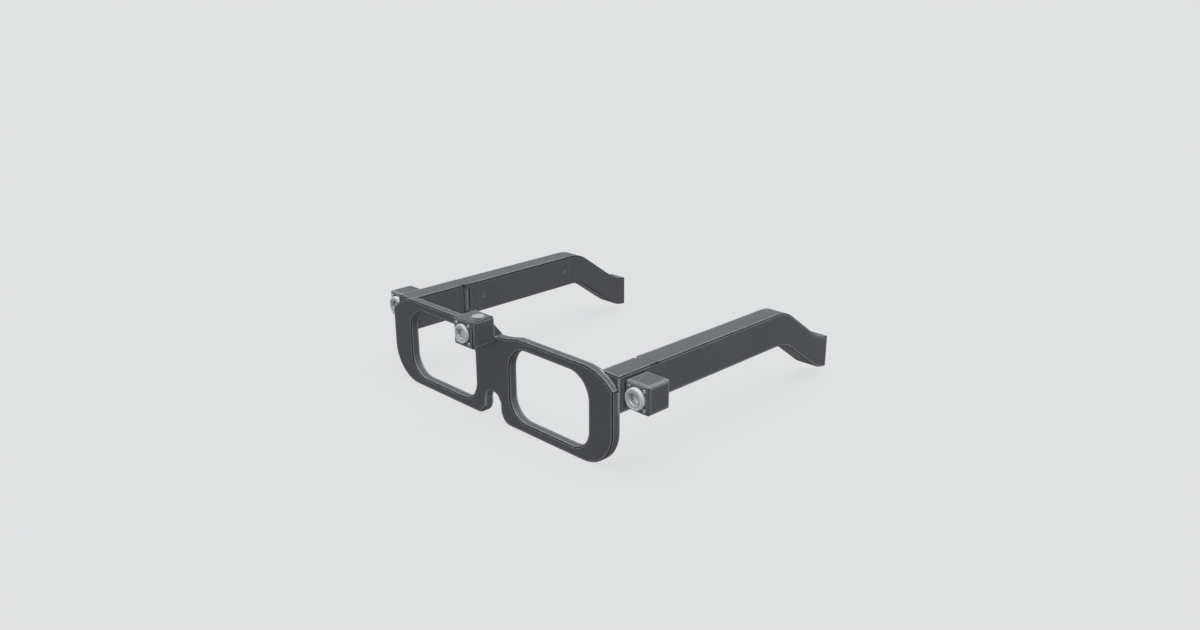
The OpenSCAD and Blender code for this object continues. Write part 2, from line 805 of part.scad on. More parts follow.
module temple_shell(hinge_y) {
    start_y = hinge_y + seam / 2;
    cavity_start = hinge_y + block;
    difference() {
        union() {
            side_slab(inner_x, side_x) temple_profile(start_y);
            at_pivot(hinge_y) translate([0, 0, bar_z]) cylinder(r = ear_r, h = temple_h);
        }
        difference() {
            side_slab(inner_x - over, side_x - wall) cover_shape(cavity_start, temple_cavity_end, 0);
            post_places(hinge_y) cross_rod(inner_x + cover_t, side_x, post_r);
            for (s = [0, 1]) translate([0, 0, bar_mid_z]) mirror([0, 0, s])
                translate([side_x - wall - board_rail, cavity_start - over, temple_h / 2 - wall - 1.4])
                    cube([board_rail + over, temple_cavity_end - cavity_start + 2 * over, 1.4 + over]);
        }
        side_slab(inner_x - over, inner_x + cover_t)
            cover_shape(cavity_start, temple_cavity_end, ledge);
        post_places(hinge_y) cross_rod(inner_x, inner_x + cover_t + 4, 0.5 + 0.02);
        at_pivot(hinge_y) {
            translate([0, 0, bar_mid_z - hinge_h / 2]) cylinder(r = ear_r + seam / 2, h = hinge_h);
            translate([-ear_r - over, -ear_r - over, bar_mid_z - hinge_h / 2])
                cube([ear_r + over, ear_r + over + leaf_t / 2 + 0.4, hinge_h]);
            leaf_slot(0, block + over);
            translate([0, 0, bar_z - over]) cylinder(r = 1.3 + fit_gap, h = 1 + over);
            translate([0, 0, bar_z]) cylinder(r = pin_r + 0.02, h = temple_h - ear_h + 1.4);
        }
        contact_places() rod(hinge_y - over, cavity_start + over, contact_r + fit_gap);
        children();
    }
}

module temple_cover(hinge_y) {
    difference() {
        side_slab(inner_x, inner_x + cover_t)
            cover_shape(hinge_y + block, temple_cavity_end, ledge - fit_gap);
        post_places(hinge_y) {
            cross_rod(inner_x - over, inner_x + cover_t + over, 0.5 + fit_gap);
            cross_rod(inner_x - over, inner_x + 0.5, 1.1 + fit_gap);
        }
    }
}

module cover_screws(hinge_y) {
    post_places(hinge_y) {
        cross_rod(inner_x + 0.5, inner_x + cover_t + 3.9, 0.5);
        difference() {
            cross_rod(inner_x, inner_x + 0.5, 1.1);
            for (a = [0, 90]) rotate([a, 0, 0])
                translate([inner_x - 0.1, -0.7, -0.12]) cube([0.3, 1.4, 0.24]);
        }
    }
}

module contact_pins(hinge_y) {
    contact_places() rod(hinge_y - seam / 2 + fit_gap, hinge_y + block + 0.4, contact_r);
}

module temple_battery(hinge_y) {
    y0 = hinge_y + block + 2 * post_in + 0.4;
    y1 = temple_cavity_end - 2 * post_in - 0.4;
    x1 = side_x - wall - board_rail - board_t - 1.3;
    x0 = inner_x + cover_t + 0.2;
    translate([(x0 + x1) / 2, (y0 + y1) / 2, bar_mid_z]) rotate([90, 0, 0])
        linear_extrude(y1 - y0, center = true) rounded(x1 - x0, temple_h - 2 * wall - 1.4, 1);
}

// A board on the rails of the outer wall, with chips given as [from its front end, length, height, thickness]
module temple_board(hinge_y, chips) {
    y0 = hinge_y + block + 0.6;
    y1 = temple_cavity_end - 0.6;
    x1 = side_x - wall - board_rail;
    h = temple_h - 2 * wall - 0.8;
    difference() {
        translate([x1 - board_t, y0, bar_mid_z - h / 2]) cube([board_t, y1 - y0, h]);
        post_places(hinge_y) cross_rod(x1 - board_t - over, x1 + over, post_r + 0.2);
    }
    for (chip = chips)
        translate([x1 - board_t - chip[3], y0 + chip[0], bar_mid_z - chip[2] / 2])
            cube([chip[3] + board_t / 2, chip[1], chip[2]]);
}

// Contacts in the right temple's underside
module charge_places() {
    for (i = [-1.5 : 1 : 1.5])
        translate([side_x - wall - 1.8, temple_cavity_end - 10 + i * charge_step, bar_z]) children();
}

module right_camera_housing() { color(body_grey) right_side() camera_housing(); }
module left_camera_housing() { color(body_grey) left_side() camera_housing(); }
module right_lens_barrel() {
    color(ring_grey) right_side() at_side_face() lens_barrel(side_lens_r, side_lens_out, side_tube_len);
}
module left_lens_barrel() {
    color(ring_grey) left_side() at_side_face() lens_barrel(side_lens_r, side_lens_out, side_tube_len);
}
module right_lens_glass() {
    color(glass_grey) right_side() at_side_face() lens_glass(side_lens_r, side_lens_out);
}
module left_lens_glass() {
    color(glass_grey) left_side() at_side_face() lens_glass(side_lens_r, side_lens_out);
}
module right_sensor_board() { color(board_green) right_side() side_sensor_board(); }
module left_sensor_board() { color(board_green) left_side() side_sensor_board(); }
module right_face_screws() { color(ring_grey) right_side() at_side_face() face_screws(); }
module left_face_screws() { color(ring_grey) left_side() at_side_face() face_screws(); }
module right_camera_screws() { color(steel_grey) right_side() camera_screws(); }
module left_camera_screws() { color(steel_grey) left_side() camera_screws(); }

module right_endpiece() { color(body_grey) right_side() endpiece(right_hinge_y); }
module left_endpiece() { color(body_grey) left_side() endpiece(left_hinge_y); }
module right_endpiece_cover() { color(body_grey) right_side() endpiece_cover(right_hinge_y); }
module left_endpiece_cover() { color(body_grey) left_side() endpiece_cover(left_hinge_y); }
module right_endpiece_screws() { color(steel_grey) right_side() endpiece_screws(); }
module left_endpiece_screws() { color(steel_grey) left_side() endpiece_screws(); }
module right_link_board() { color(board_green) right_side() link_board(right_hinge_y); }
module left_link_board() { color(board_green) left_side() link_board(left_hinge_y); }
module right_contact_pads() { color(gold) right_side() contact_pads(right_hinge_y); }
module left_contact_pads() { color(gold) left_side() contact_pads(left_hinge_y); }
module right_frame_leaf() { color(steel_grey) right_side() frame_leaf(right_hinge_y); }
module left_frame_leaf() { color(steel_grey) left_side() frame_leaf(left_hinge_y); }

module right_temple_shell() {
    color(body_grey) right_side() temple_shell(right_hinge_y)
        charge_places() translate([0, 0, -over]) cylinder(r = 1 + fit_gap, h = wall + 2 * over);
}
module left_temple_shell() { color(body_grey) left_side() temple_shell(left_hinge_y); }
module right_temple_cover() { color(body_grey) right_side() temple_cover(right_hinge_y); }
module left_temple_cover() { color(body_grey) left_side() temple_cover(left_hinge_y); }
module right_cover_screws() { color(steel_grey) right_side() cover_screws(right_hinge_y); }
module left_cover_screws() { color(steel_grey) left_side() cover_screws(left_hinge_y); }
module right_temple_leaf() { color(steel_grey) right_side() temple_leaf(right_hinge_y); }
module left_temple_leaf() { color(steel_grey) left_side() temple_leaf(left_hinge_y); }
module right_hinge_pin() { color(steel_grey) right_side() hinge_pin(right_hinge_y); }
module left_hinge_pin() { color(steel_grey) left_side() hinge_pin(left_hinge_y); }
module right_contact_pins() { color(gold) right_side() contact_pins(right_hinge_y); }
module left_contact_pins() { color(gold) left_side() contact_pins(left_hinge_y); }
module right_battery() { color([0.75, 0.76, 0.78]) right_side() temple_battery(right_hinge_y); }
module left_battery() { color([0.75, 0.76, 0.78]) left_side() temple_battery(left_hinge_y); }
module main_board() {
    color(board_green) right_side()
        temple_board(right_hinge_y, [[6, 10, 10, 1], [19, 8, 8, 0.9], [30, 12, 9, 1.1], [46, 5, 7, 0.8]]);
}
module power_board() {
    color(board_green) left_side()
        temple_board(left_hinge_y, [[7, 7, 9, 1.1], [17, 5, 5, 0.9], [26, 9, 8, 1]]);
}
module charge_pads() { color(gold) right_side() charge_places() cylinder(r = 1, h = wall + 0.3); }

front_frame();
brow_cover();
front_ribbon();
bridge_housing();
bridge_bracket();
bridge_lens_barrel();
bridge_lens_glass();
bridge_sensor_board();
bridge_face_screws();
bridge_fixing_screws();
bracket_screws();
shutter_button();
shutter_switch();
right_camera_housing();
right_lens_barrel();
right_lens_glass();
right_sensor_board();
right_face_screws();
right_camera_screws();
left_camera_housing();
left_lens_barrel();
left_lens_glass();
left_sensor_board();
left_face_screws();
left_camera_screws();
right_endpiece();
right_endpiece_cover();
right_endpiece_screws();
right_link_board();
right_contact_pads();
right_frame_leaf();
left_endpiece();
left_endpiece_cover();
left_endpiece_screws();
left_link_board();
left_contact_pads();
left_frame_leaf();
right_temple_shell();
right_temple_cover();
right_cover_screws();
right_temple_leaf();
right_hinge_pin();
right_contact_pins();
right_battery();
main_board();
charge_pads();
left_temple_shell();
left_temple_cover();
left_cover_screws();
left_temple_leaf();
left_hinge_pin();
left_contact_pins();
left_battery();
power_board();
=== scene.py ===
import math

import bmesh
import bpy
from mathutils import Matrix, Vector
from mathutils.bvhtree import BVHTree


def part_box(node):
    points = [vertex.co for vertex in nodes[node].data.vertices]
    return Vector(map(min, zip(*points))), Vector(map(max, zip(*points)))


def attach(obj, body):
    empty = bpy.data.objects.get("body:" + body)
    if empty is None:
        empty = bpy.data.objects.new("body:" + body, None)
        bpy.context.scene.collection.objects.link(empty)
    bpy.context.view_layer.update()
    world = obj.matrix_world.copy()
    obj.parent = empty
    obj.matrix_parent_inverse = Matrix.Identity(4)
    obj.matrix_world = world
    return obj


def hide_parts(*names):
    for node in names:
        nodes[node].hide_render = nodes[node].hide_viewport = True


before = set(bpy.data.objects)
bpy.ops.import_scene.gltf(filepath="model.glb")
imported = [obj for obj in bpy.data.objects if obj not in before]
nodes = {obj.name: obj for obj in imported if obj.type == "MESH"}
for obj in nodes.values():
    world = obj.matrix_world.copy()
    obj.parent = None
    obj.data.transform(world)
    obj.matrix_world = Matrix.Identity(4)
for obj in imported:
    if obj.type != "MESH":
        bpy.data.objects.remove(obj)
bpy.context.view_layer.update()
scene = bpy.context.scene
scene.view_settings.view_transform = "Standard"
mm = 0.001
print("frame loaded:", len(nodes), "nodes")


cameraLook = {
    "place": (0.33637, -0.336325, 0.19783),
    "turn": 45.136,         # degrees round the vertical
    "tilt": 70.828,         # degrees up from looking straight down
    "roll": -0.106,
    "lens": 31.065,         # mm, in front of a picture this wide:
    "film": 36,
    "clip": (0.01, 100),
}


def makeCamera(look):
    data = bpy.data.cameras.new("camera")
    data.lens = look["lens"]
    data.sensor_width = look["film"]
    data.sensor_fit = "HORIZONTAL"
    data.clip_start, data.clip_end = look["clip"]
    camera = bpy.data.objects.new("camera", data)
    scene.collection.objects.link(camera)
    camera.matrix_world = (Matrix.Translation(look["place"])
                           @ Matrix.Rotation(math.radians(look["turn"]), 4, "Z")
                           @ Matrix.Rotation(math.radians(look["tilt"]), 4, "X")
                           @ Matrix.Rotation(math.radians(look["roll"]), 4, "Z"))
    scene.camera = camera


makeCamera(cameraLook)


def linear(code):
    # sRGB hex to linear
    parts = [int(code[i:i + 2], 16) / 255 for i in (0, 2, 4)]
    return [p / 12.92 if p <= 0.04045 else ((p + 0.055) / 1.055) ** 2.4 for p in parts] + [1]


def fillSocket(tree, socket, value):
    if isinstance(value, bpy.types.NodeSocket):
        tree.links.new(value, socket)
    else:
        socket.default_value = value


def addNode(tree, kind, settings=None, **inputs):
    # Inputs go by name, with _ for a space, or by number, as in i0
    node = tree.nodes.new("ShaderNode" + kind)
    for key, value in (settings or {}).items():
        setattr(node, key, value)
    for key, value in inputs.items():
        numbered = key[0] == "i" and key[1:].isdigit()
        fillSocket(tree, node.inputs[int(key[1:]) if numbered else key.replace("_", " ")], value)
    return node


def mathNode(tree, operation, a, b=0.0, clamp=False):
    settings = {"operation": operation, "use_clamp": clamp}
    return addNode(tree, "Math", settings, i0=a, i1=b).outputs[0]


def mixColour(tree, factor, a, b):
    node = addNode(tree, "Mix", {"data_type": "RGBA"}, Factor=factor, i6=a, i7=b)
    return node.outputs[2]


def mapRange(tree, value, low, high, toLow=0.0, toHigh=1.0):
    settings = {"clamp": True}
    node = addNode(tree, "MapRange", settings, i0=value, i1=low, i2=high, i3=toLow, i4=toHigh)
    return node.outputs[0]


def objectPlace(tree):
    return addNode(tree, "TexCoord").outputs["Object"]


def noise(tree, place, scale, detail):
    return addNode(tree, "TexNoise", None, Vector=place, Scale=scale, Detail=detail).outputs[0]


def spreadNoise(tree, value, toLow=0.0, toHigh=1.0):
    # Noise stays near its middle, which is spread over the whole range
    return mapRange(tree, value, 0.3, 0.7, toLow, toHigh)


stageLook = {
    "backdrop": "E0E1E2",
    "floorTone": 0.15,      # how pale the floor is to the light that it sends back to the object
    "shownTone": 0.6,       # and how pale the part of it is that is seen lit and shaded
    "flatShare": 0.72,      # share of the floor that shows the backdrop's plain colour
    "flatTone": (0.7395, 0.7494, 0.7605),
    "floorSize": 60,        # metres
    "sky": 0.05,
    "fill": ("leftLamp", "backLamp"),       # cast no shadows
    "lamps": {              # strength, where it stands, how many degrees wide it looks
        "overheadLamp": (0.9, (0.05, 0.0, 1), 60),
        "leftLamp": (1.75, (-0.5, -0.5, 0.72), 30),
        "backLamp": (2.35, (0.5, 0.5, 0.72), 30),
    },
}


def seenDirectly(tree):
    # To the camera, and in metal and glass
    path = addNode(tree, "LightPath")
    seen = mathNode(tree, "MAXIMUM", path.outputs["Is Camera Ray"], path.outputs["Is Glossy Ray"])
    return mathNode(tree, "MAXIMUM", seen, path.outputs["Is Transmission Ray"])


def makeWorld(look):
    world = bpy.data.worlds.new("studio")
    scene.world = world
    world.use_nodes = True
    tree = world.node_tree
    tree.nodes.clear()
    light = addNode(tree, "Background", None, Color=(1, 1, 1, 1), Strength=look["sky"])
    plain = addNode(tree, "Background", None, Color=linear(look["backdrop"]), Strength=1.0)
    mix = addNode(tree, "MixShader", None, i0=seenDirectly(tree), i1=light.outputs[0],
                  i2=plain.outputs[0])
    addNode(tree, "OutputWorld", None, Surface=mix.outputs[0])


def makeFloor(look):
    bm = bmesh.new()
    bmesh.ops.create_grid(bm, x_segments=1, y_segments=1, size=look["floorSize"] / 2)
    mesh = bpy.data.meshes.new("floor")
    bm.to_mesh(mesh)
    bm.free()
    floor = bpy.data.objects.new("floor", mesh)
    scene.collection.objects.link(floor)
    material = bpy.data.materials.new("paleFloor")
    material.use_nodes = True
    tree = material.node_tree
    tree.nodes.clear()
    seen = seenDirectly(tree)
    tones = [[look[key]] * 3 + [1] for key in ("floorTone", "shownTone")]
    lit = addNode(tree, "BsdfDiffuse", None, Color=mixColour(tree, seen, *tones))
    flat = addNode(tree, "Emission", None, Color=(*look["flatTone"], 1), Strength=1.0)
    share = mathNode(tree, "MULTIPLY", seen, look["flatShare"])
    mix = addNode(tree, "MixShader", None, i0=share, i1=lit.outputs[0], i2=flat.outputs[0])
    addNode(tree, "OutputMaterial", None, Surface=mix.outputs[0])
    mesh.materials.append(material)


def makeLamp(name, energy, towards, angle, shadow):
    data = bpy.data.lights.new(name, "SUN")
    data.energy = energy
    data.angle = math.radians(angle)
    data.use_shadow = shadow
    lamp = bpy.data.objects.new(name, data)
    scene.collection.objects.link(lamp)
    lamp.rotation_euler = Vector(towards).to_track_quat("Z", "Y").to_euler()


makeWorld(stageLook)
makeFloor(stageLook)
for lampName, lampPlan in stageLook["lamps"].items():
    makeLamp(lampName, *lampPlan, lampName not in stageLook["fill"])
print("stage and light ready")


def startGroup(name, inputs, outputs):
    group = bpy.data.node_groups.new(name, "ShaderNodeTree")
    kind = "NodeSocketFloat"
    for label, value in inputs.items():
        socket = group.interface.new_socket(name=label, in_out="INPUT", socket_type=kind)
        socket.default_value = value
    for label in outputs:
        group.interface.new_socket(name=label, in_out="OUTPUT", socket_type=kind)
    given, result = group.nodes.new("NodeGroupInput"), group.nodes.new("NodeGroupOutput")
    return group, given.outputs, result.inputs


raySamples = 6      # for what looks at a point's surroundings


def turnAtEdges(group, radius):
    # Cosine of the turn between the true normal and one that is rounded over the nearby edges
    flat = addNode(group, "NewGeometry").outputs["Normal"]
    bent = addNode(group, "Bevel", {"samples": raySamples}, Radius=radius).outputs[0]
    dot = addNode(group, "VectorMath", {"operation": "DOT_PRODUCT"}, i0=flat, i1=bent)
    return dot.outputs["Value"]


edgeWearLook = {
    "turn": (0.995, 0.86),                  # cosines between which the rubbing comes in
    "patches": (0.3, 0.62, 0.35, 1.0),      # noise from and to, and how much is rubbed there
}


def makeEdgeWear(look):
    # Rubbed edges on metal, broken up by noise
    inputs = {"Radius": 0.4 * mm, "Strength": 1, "Scale": 900}
    group, given, result = startGroup("edgeWear", inputs, ["Mask"])
    edge = mapRange(group, turnAtEdges(group, given["Radius"]), *look["turn"])
    patches = noise(group, objectPlace(group), given["Scale"], 3.0)
    mask = mathNode(group, "MULTIPLY", edge, mapRange(group, patches, *look["patches"]))
    mask = mathNode(group, "MULTIPLY", mask, given["Strength"], True)
    group.links.new(mask, result["Mask"])
    return group


creviceLook = {"shade": (0.85, 0.25)}   # how open a place is where the dust and painted shade start and where they are full


def makeCrevice(look):
    # Dust and painted shade in seams and inner corners
    group, given, result = startGroup("crevice", {"Reach": 1.2 * mm, "Strength": 1}, ["Mask"])
    around = addNode(group, "AmbientOcclusion", {"samples": raySamples}, Distance=given["Reach"])
    dark = mapRange(group, around.outputs["AO"], *look["shade"])
    group.links.new(mathNode(group, "MULTIPLY", dark, given["Strength"], True), result["Mask"])
    return group


grainLook = {
    "cloudScale": 90,
    "speckSize": (0.34, 0.22),              # distance from a speck's middle: outside, inside
    "speckPatchScale": 60,
    "speckPatches": (0.38, 0.6, 0.25, 1.0),
}


def makeMouldGrain(look):
    # Fine spark-eroded mould texture, slow clouding under it, and sparse pale specks
    inputs = {"Scale": 4200, "Pitch": 1100}
    group, given, result = startGroup("mouldGrain", inputs, ["Height", "Cloud", "Speck"])
    place = objectPlace(group)
    fine = noise(group, place, given["Scale"], 2.0)
    cell = addNode(group, "TexVoronoi", None, Vector=place, Scale=given["Scale"])
    cloud = noise(group, place, look["cloudScale"], 4.0)
    dot = addNode(group, "TexVoronoi", None, Vector=place, Scale=given["Pitch"], Randomness=0.8)
    sparse = noise(group, place, look["speckPatchScale"], 2.0)
    speck = mathNode(group, "MULTIPLY",
                     mapRange(group, dot.outputs["Distance"], *look["speckSize"]),
                     mapRange(group, sparse, *look["speckPatches"]))
    height = mathNode(group, "ADD", fine, cell.outputs["Distance"])
    group.links.new(height, result["Height"])
    group.links.new(spreadNoise(group, cloud), result["Cloud"])
    group.links.new(speck, result["Speck"])
    return group


rubbedAndHighlitLook = {
    "turn": (0.9998, 0.998),                # cosines between which the band beside an edge comes in
    "curve": (0.0, 0.5),                    # how tight a rounding is where it gets pale
    "line": (0.55, 0.75),                   # and where it gets the dark line
    "patches": (0.3, 0.6, 0.6, 1.0),        # noise from and to, and how pale the edges are there
    "linePatches": (0.3, 0.6, 1.0, 0.95),
}


def makeRubbedAndHighlit(look):
    # Moulded edges, partly from the curvature written on the meshes: roundings and a band beside
    # each edge are painted pale, partly as wear and partly as a painted highlight; the edge itself
    # keeps a dark line, and noise breaks both up
    group, given, result = startGroup("rubbed", {"Band": 1.1 * mm, "Scale": 900}, ["Pale", "Dark"])
    curve = addNode(group, "Attribute", {"attribute_name": "edgeBend"}).outputs["Fac"]
    patches = noise(group, objectPlace(group), given["Scale"], 3.0)
    beside = mapRange(group, turnAtEdges(group, given["Band"]), *look["turn"])
    pale = mathNode(group, "MAXIMUM", beside, mapRange(group, curve, *look["curve"]))
    pale = mathNode(group, "MULTIPLY", pale, mapRange(group, patches, *look["patches"]), True)
    dark = mathNode(group, "MULTIPLY", mapRange(group, curve, *look["line"]),
                    mapRange(group, patches, *look["linePatches"]))
    group.links.new(pale, result["Pale"])
    group.links.new(dark, result["Dark"])
    return group


turningLook = {"softScale": 700, "streak": (0.7, 1.3)}


def makeTurning(look):
    # Fine lathe lines that follow the profile of a turned piece
    group, given, result = startGroup("turning", {"Pitch": 0.06 * mm}, ["Height", "Streak"])
    along = addNode(group, "Attribute", {"attribute_name": "lathe"}).outputs["Fac"]
    phase = mathNode(group, "DIVIDE", along, given["Pitch"])
    ring = addNode(group, "TexNoise", {"noise_dimensions": "1D"}, W=phase, Scale=1.0, Detail=2.0)
    soft = noise(group, objectPlace(group), look["softScale"], 2.0)
    streak = mathNode(group, "ADD", ring.outputs[0], soft)
    group.links.new(ring.outputs[0], result["Height"])
    group.links.new(mapRange(group, streak, *look["streak"]), result["Streak"])
    return group


edgeWear = makeEdgeWear(edgeWearLook)
crevice = makeCrevice(creviceLook)
mouldGrain = makeMouldGrain(grainLook)
rubbed = makeRubbedAndHighlit(rubbedAndHighlitLook)
turning = makeTurning(turningLook)


def placeGroup(tree, group, values):
    node = tree.nodes.new("ShaderNodeGroup")
    node.node_tree = group
    for label, value in values.items():
        node.inputs[label].default_value = value
    return node.outputs


def startMaterial(name, **values):
    material = bpy.data.materials.new(name)
    material.use_nodes = True
    tree = material.node_tree
    tree.nodes.clear()
    shader = addNode(tree, "BsdfPrincipled", None, **values)
    addNode(tree, "OutputMaterial", None, Surface=shader.outputs[0])
    return material, tree, shader


def finishMaterial(tree, shader, colour, rough, height=None, depth=0.0):
    tree.links.new(colour, shader.inputs["Base Color"])
    tree.links.new(rough, shader.inputs["Roughness"])
    if height is not None:
        bump = addNode(tree, "Bump", None, Height=height, Distance=depth, Strength=1.0)
        tree.links.new(bump.outputs[0], shader.inputs["Normal"])


plasticLook = {
    "deep": "54565A",       # the moulded grey, in its darker clouds
    "light": "5A5C60",
    # A pale tone, for the specks and for pale edges that are partly wear and partly a painted
    # highlight
    "rubbed": "B2B6BA",
    # The dark tone of dust and painted shade in seams and corners, also used for the dark line
    # along edges
    "dustAndShadeTone": "121315",
    "roughness": (0.55, 0.68),
    "polish": 0.2,          # how much smoother the pale bands are
    "shine": 0.25,
    # How strong the pale edges are, partly wear and partly a painted highlight
    "wearAndHighlight": 0.98,
    "band": 1.15 * mm,      # how far from an edge the pale band starts
    "edgeLine": 0.98,
    "specks": 0.1,
    "grain": {"Scale": 4200},
    "seams": {"Reach": 1.4 * mm, "Strength": 0.8},
    "depth": 0.012 * mm,
}
cameraPlasticLook = {**plasticLook, "wearAndHighlight": 0.42, "band": 0.8 * mm}
barPlasticLook = {
    **plasticLook,
    "innerSide": 64.3 * mm,     # the side that lies on the head, from the middle of the glasses
    "innerRamp": 0.2 * mm,
    "seamRamp": (2.0 * mm, 3.6 * mm),
    "leftOver": 0.12,           # what is left of the pale edges there
}
switchPlasticLook = {**plasticLook, "deep": "222325", "light": "2A2B2D", "rubbed": "5A5B5D",
                     "dustAndShadeTone": "101012"}


def awayFromInnerAndSeam(tree, look):
    # On the side bars the pale edges are cut back on the inner side and beside the hinge's seam
    place = addNode(tree, "SeparateXYZ", None, Vector=objectPlace(tree))
    across = mathNode(tree, "ABSOLUTE", place.outputs["X"])
    away = mathNode(tree, "ABSOLUTE", mathNode(tree, "SUBTRACT", place.outputs["Y"], look["seam"]))
    inner, least = look["innerSide"], look["leftOver"]
    return mathNode(tree, "MULTIPLY",
                    mapRange(tree, across, inner, inner + look["innerRamp"], least, 1.0),
                    mapRange(tree, away, *look["seamRamp"], least, 1.0))


def makePlastic(name, look):
    material, tree, shader = startMaterial(name, Specular_IOR_Level=look["shine"])
    grain = placeGroup(tree, mouldGrain, look["grain"])
    worn = placeGroup(tree, rubbed, {"Band": look["band"]})
    dustAndShade = placeGroup(tree, crevice, look["seams"])
    # Pale bands and roundings: partly wear, partly a painted highlight
    pale = mathNode(tree, "MULTIPLY", worn["Pale"], look["wearAndHighlight"])
    if "seam" in look:
        pale = mathNode(tree, "MULTIPLY", pale, awayFromInnerAndSeam(tree, look))
    specks = mathNode(tree, "MULTIPLY", grain["Speck"], look["specks"])
    line = mathNode(tree, "MULTIPLY", worn["Dark"], look["edgeLine"])
    colour = mixColour(tree, grain["Cloud"], linear(look["deep"]), linear(look["light"]))
    # The dark tone is dust and painted shade in seams and corners; the dark line along each edge is
    # painted in it too
    layers = ((specks, "rubbed"), (pale, "rubbed"), (line, "dustAndShadeTone"), (dustAndShade["Mask"], "dustAndShadeTone"))
    for mask, tone in layers:
        colour = mixColour(tree, mask, colour, linear(look[tone]))
    rough = mapRange(tree, grain["Cloud"], 0, 1, *look["roughness"])
    polished = mathNode(tree, "SUBTRACT", pale, worn["Dark"])
    polished = mathNode(tree, "MULTIPLY", polished, look["polish"])
    rough = mathNode(tree, "SUBTRACT", rough, polished)
    finishMaterial(tree, shader, colour, rough, grain["Height"], look["depth"])
    return material


ringLook = {
    "bright": "D0D4D7",
    "dull": "C2C6C9",
    "rubbed": "D6D9DB",
    # The dark tone of dust and painted shade in the seams
    "dustAndShadeTone": "5A5C5F",
    "roughness": (0.84, 0.92),
    "metal": 0.9,
    "shine": 0.3,
    "turning": {"Pitch": 0.06 * mm},
    "edges": {"Radius": 0.25 * mm, "Strength": 0.7, "Scale": 1600},
    "seams": {"Reach": 0.9 * mm, "Strength": 0.6},
    "depth": 0.004 * mm,
}
retainingRingLook = {**ringLook, "bright": "BABEC1", "dull": "ACB0B3"}
buttonMetalLook = {**ringLook, "bright": "AEB2B5", "dull": "A0A4A7", "rubbed": "BCBFC1",
                   "roughness": (0.64, 0.74), "metal": 0.5}


def makeTurnedMetal(name, look):
    values = {"Metallic": look["metal"], "Specular_IOR_Level": look["shine"]}
    material, tree, shader = startMaterial(name, **values)
    turned = placeGroup(tree, turning, look["turning"])
    worn = placeGroup(tree, edgeWear, look["edges"])
    dustAndShade = placeGroup(tree, crevice, look["seams"])
    colour = mixColour(tree, turned["Streak"], linear(look["dull"]), linear(look["bright"]))
    colour = mixColour(tree, worn["Mask"], colour, linear(look["rubbed"]))
    # Dust and painted shade in the seams
    colour = mixColour(tree, dustAndShade["Mask"], colour, linear(look["dustAndShadeTone"]))
    rough = mapRange(tree, turned["Streak"], 0, 1, *look["roughness"])
    finishMaterial(tree, shader, colour, rough, turned["Height"], look["depth"])
    return material


screwMetalLook = {
    "bright": "B4B7BA",
    "dull": "9EA1A4",
    "rubbed": "C8CACC",
    # The dark tone of dust and painted shade in the seams
    "dustAndShadeTone": "2C2C2E",
    "roughness": (0.42, 0.54),
    "drawn": (1, 1, 0.06),      # smallest along the direction in which the metal was drawn
    "streakScale": 2500,
    "patchScale": 500,
    "edges": {"Radius": 0.2 * mm, "Strength": 0.6, "Scale": 1800},
    "seams": {"Reach": 0.8 * mm, "Strength": 0.7},
    "depth": 0.003 * mm,
}
hingeSteelLook = {**screwMetalLook, "bright": "7A7C80", "dull": "6A6C70", "rubbed": "A0A2A4",
                  "roughness": (0.5, 0.62)}
contactGoldLook = {**screwMetalLook, "bright": "E8C66A", "dull": "D0A84C", "rubbed": "E4E4E4",
                   "roughness": (0.2, 0.34), "drawn": (1, 0.06, 1)}


def makeMetal(name, look):
    material, tree, shader = startMaterial(name, Metallic=1.0)
    place = objectPlace(tree)
    drawn = addNode(tree, "Mapping", None, Vector=place, Scale=look["drawn"]).outputs[0]
    streak = noise(tree, drawn, look["streakScale"], 3.0)
    patch = noise(tree, place, look["patchScale"], 3.0)
    worn = placeGroup(tree, edgeWear, look["edges"])
    dustAndShade = placeGroup(tree, crevice, look["seams"])
    patch = spreadNoise(tree, patch)
    colour = mixColour(tree, patch, linear(look["dull"]), linear(look["bright"]))
    colour = mixColour(tree, worn["Mask"], colour, linear(look["rubbed"]))
    # Dust and painted shade in the seams
    colour = mixColour(tree, dustAndShade["Mask"], colour, linear(look["dustAndShadeTone"]))
    rough = spreadNoise(tree, streak, *look["roughness"])
    finishMaterial(tree, shader, colour, rough, streak, look["depth"])
    return material


frontGlassLook = {
    "tint": ("DCE2E6", "E8ECEE"),
    "index": 1.52,
    "coat": 0.2,
    "coatRoughness": 0.02,
    "coatIndex": 1.9,
    "smearScale": 450,
    "smear": (0.4, 0.75, 0.01, 0.09),       # noise from and to, and how rough the glass is there
}
innerGlassLook = {**frontGlassLook, "tint": ("B4BCC4", "C6CDD4")}


def makeGlass(name, look):
    values = {"Transmission_Weight": 1.0, "Metallic": 0.0, "IOR": look["index"],
              "Coat_Weight": look["coat"], "Coat_Roughness": look["coatRoughness"],
              "Coat_IOR": look["coatIndex"]}
    material, tree, shader = startMaterial(name, **values)
    smear = noise(tree, objectPlace(tree), look["smearScale"], 3.0)
    colour = mixColour(tree, smear, *[linear(tone) for tone in look["tint"]])
    finishMaterial(tree, shader, colour, mapRange(tree, smear, *look["smear"]))
    return material


boardLook = {
    "tones": ("175A33", "1F6B3E"),
    "track": "4C9A5E",
    "trackShare": 0.5,
    # The dark tone of dust and painted shade in the seams
    "dustAndShadeTone": "0D2416",
    "roughness": (0.28, 0.42),
    "shine": 0.5,
    "trackScale": 900,
    "tracks": {"Mortar_Size": 0.012, "Brick_Width": 1.7, "Row_Height": 0.45},
    "weaveScale": 3500,
    "seams": {"Reach": 1.2 * mm, "Strength": 0.6},
    "depth": 0.01 * mm,
}


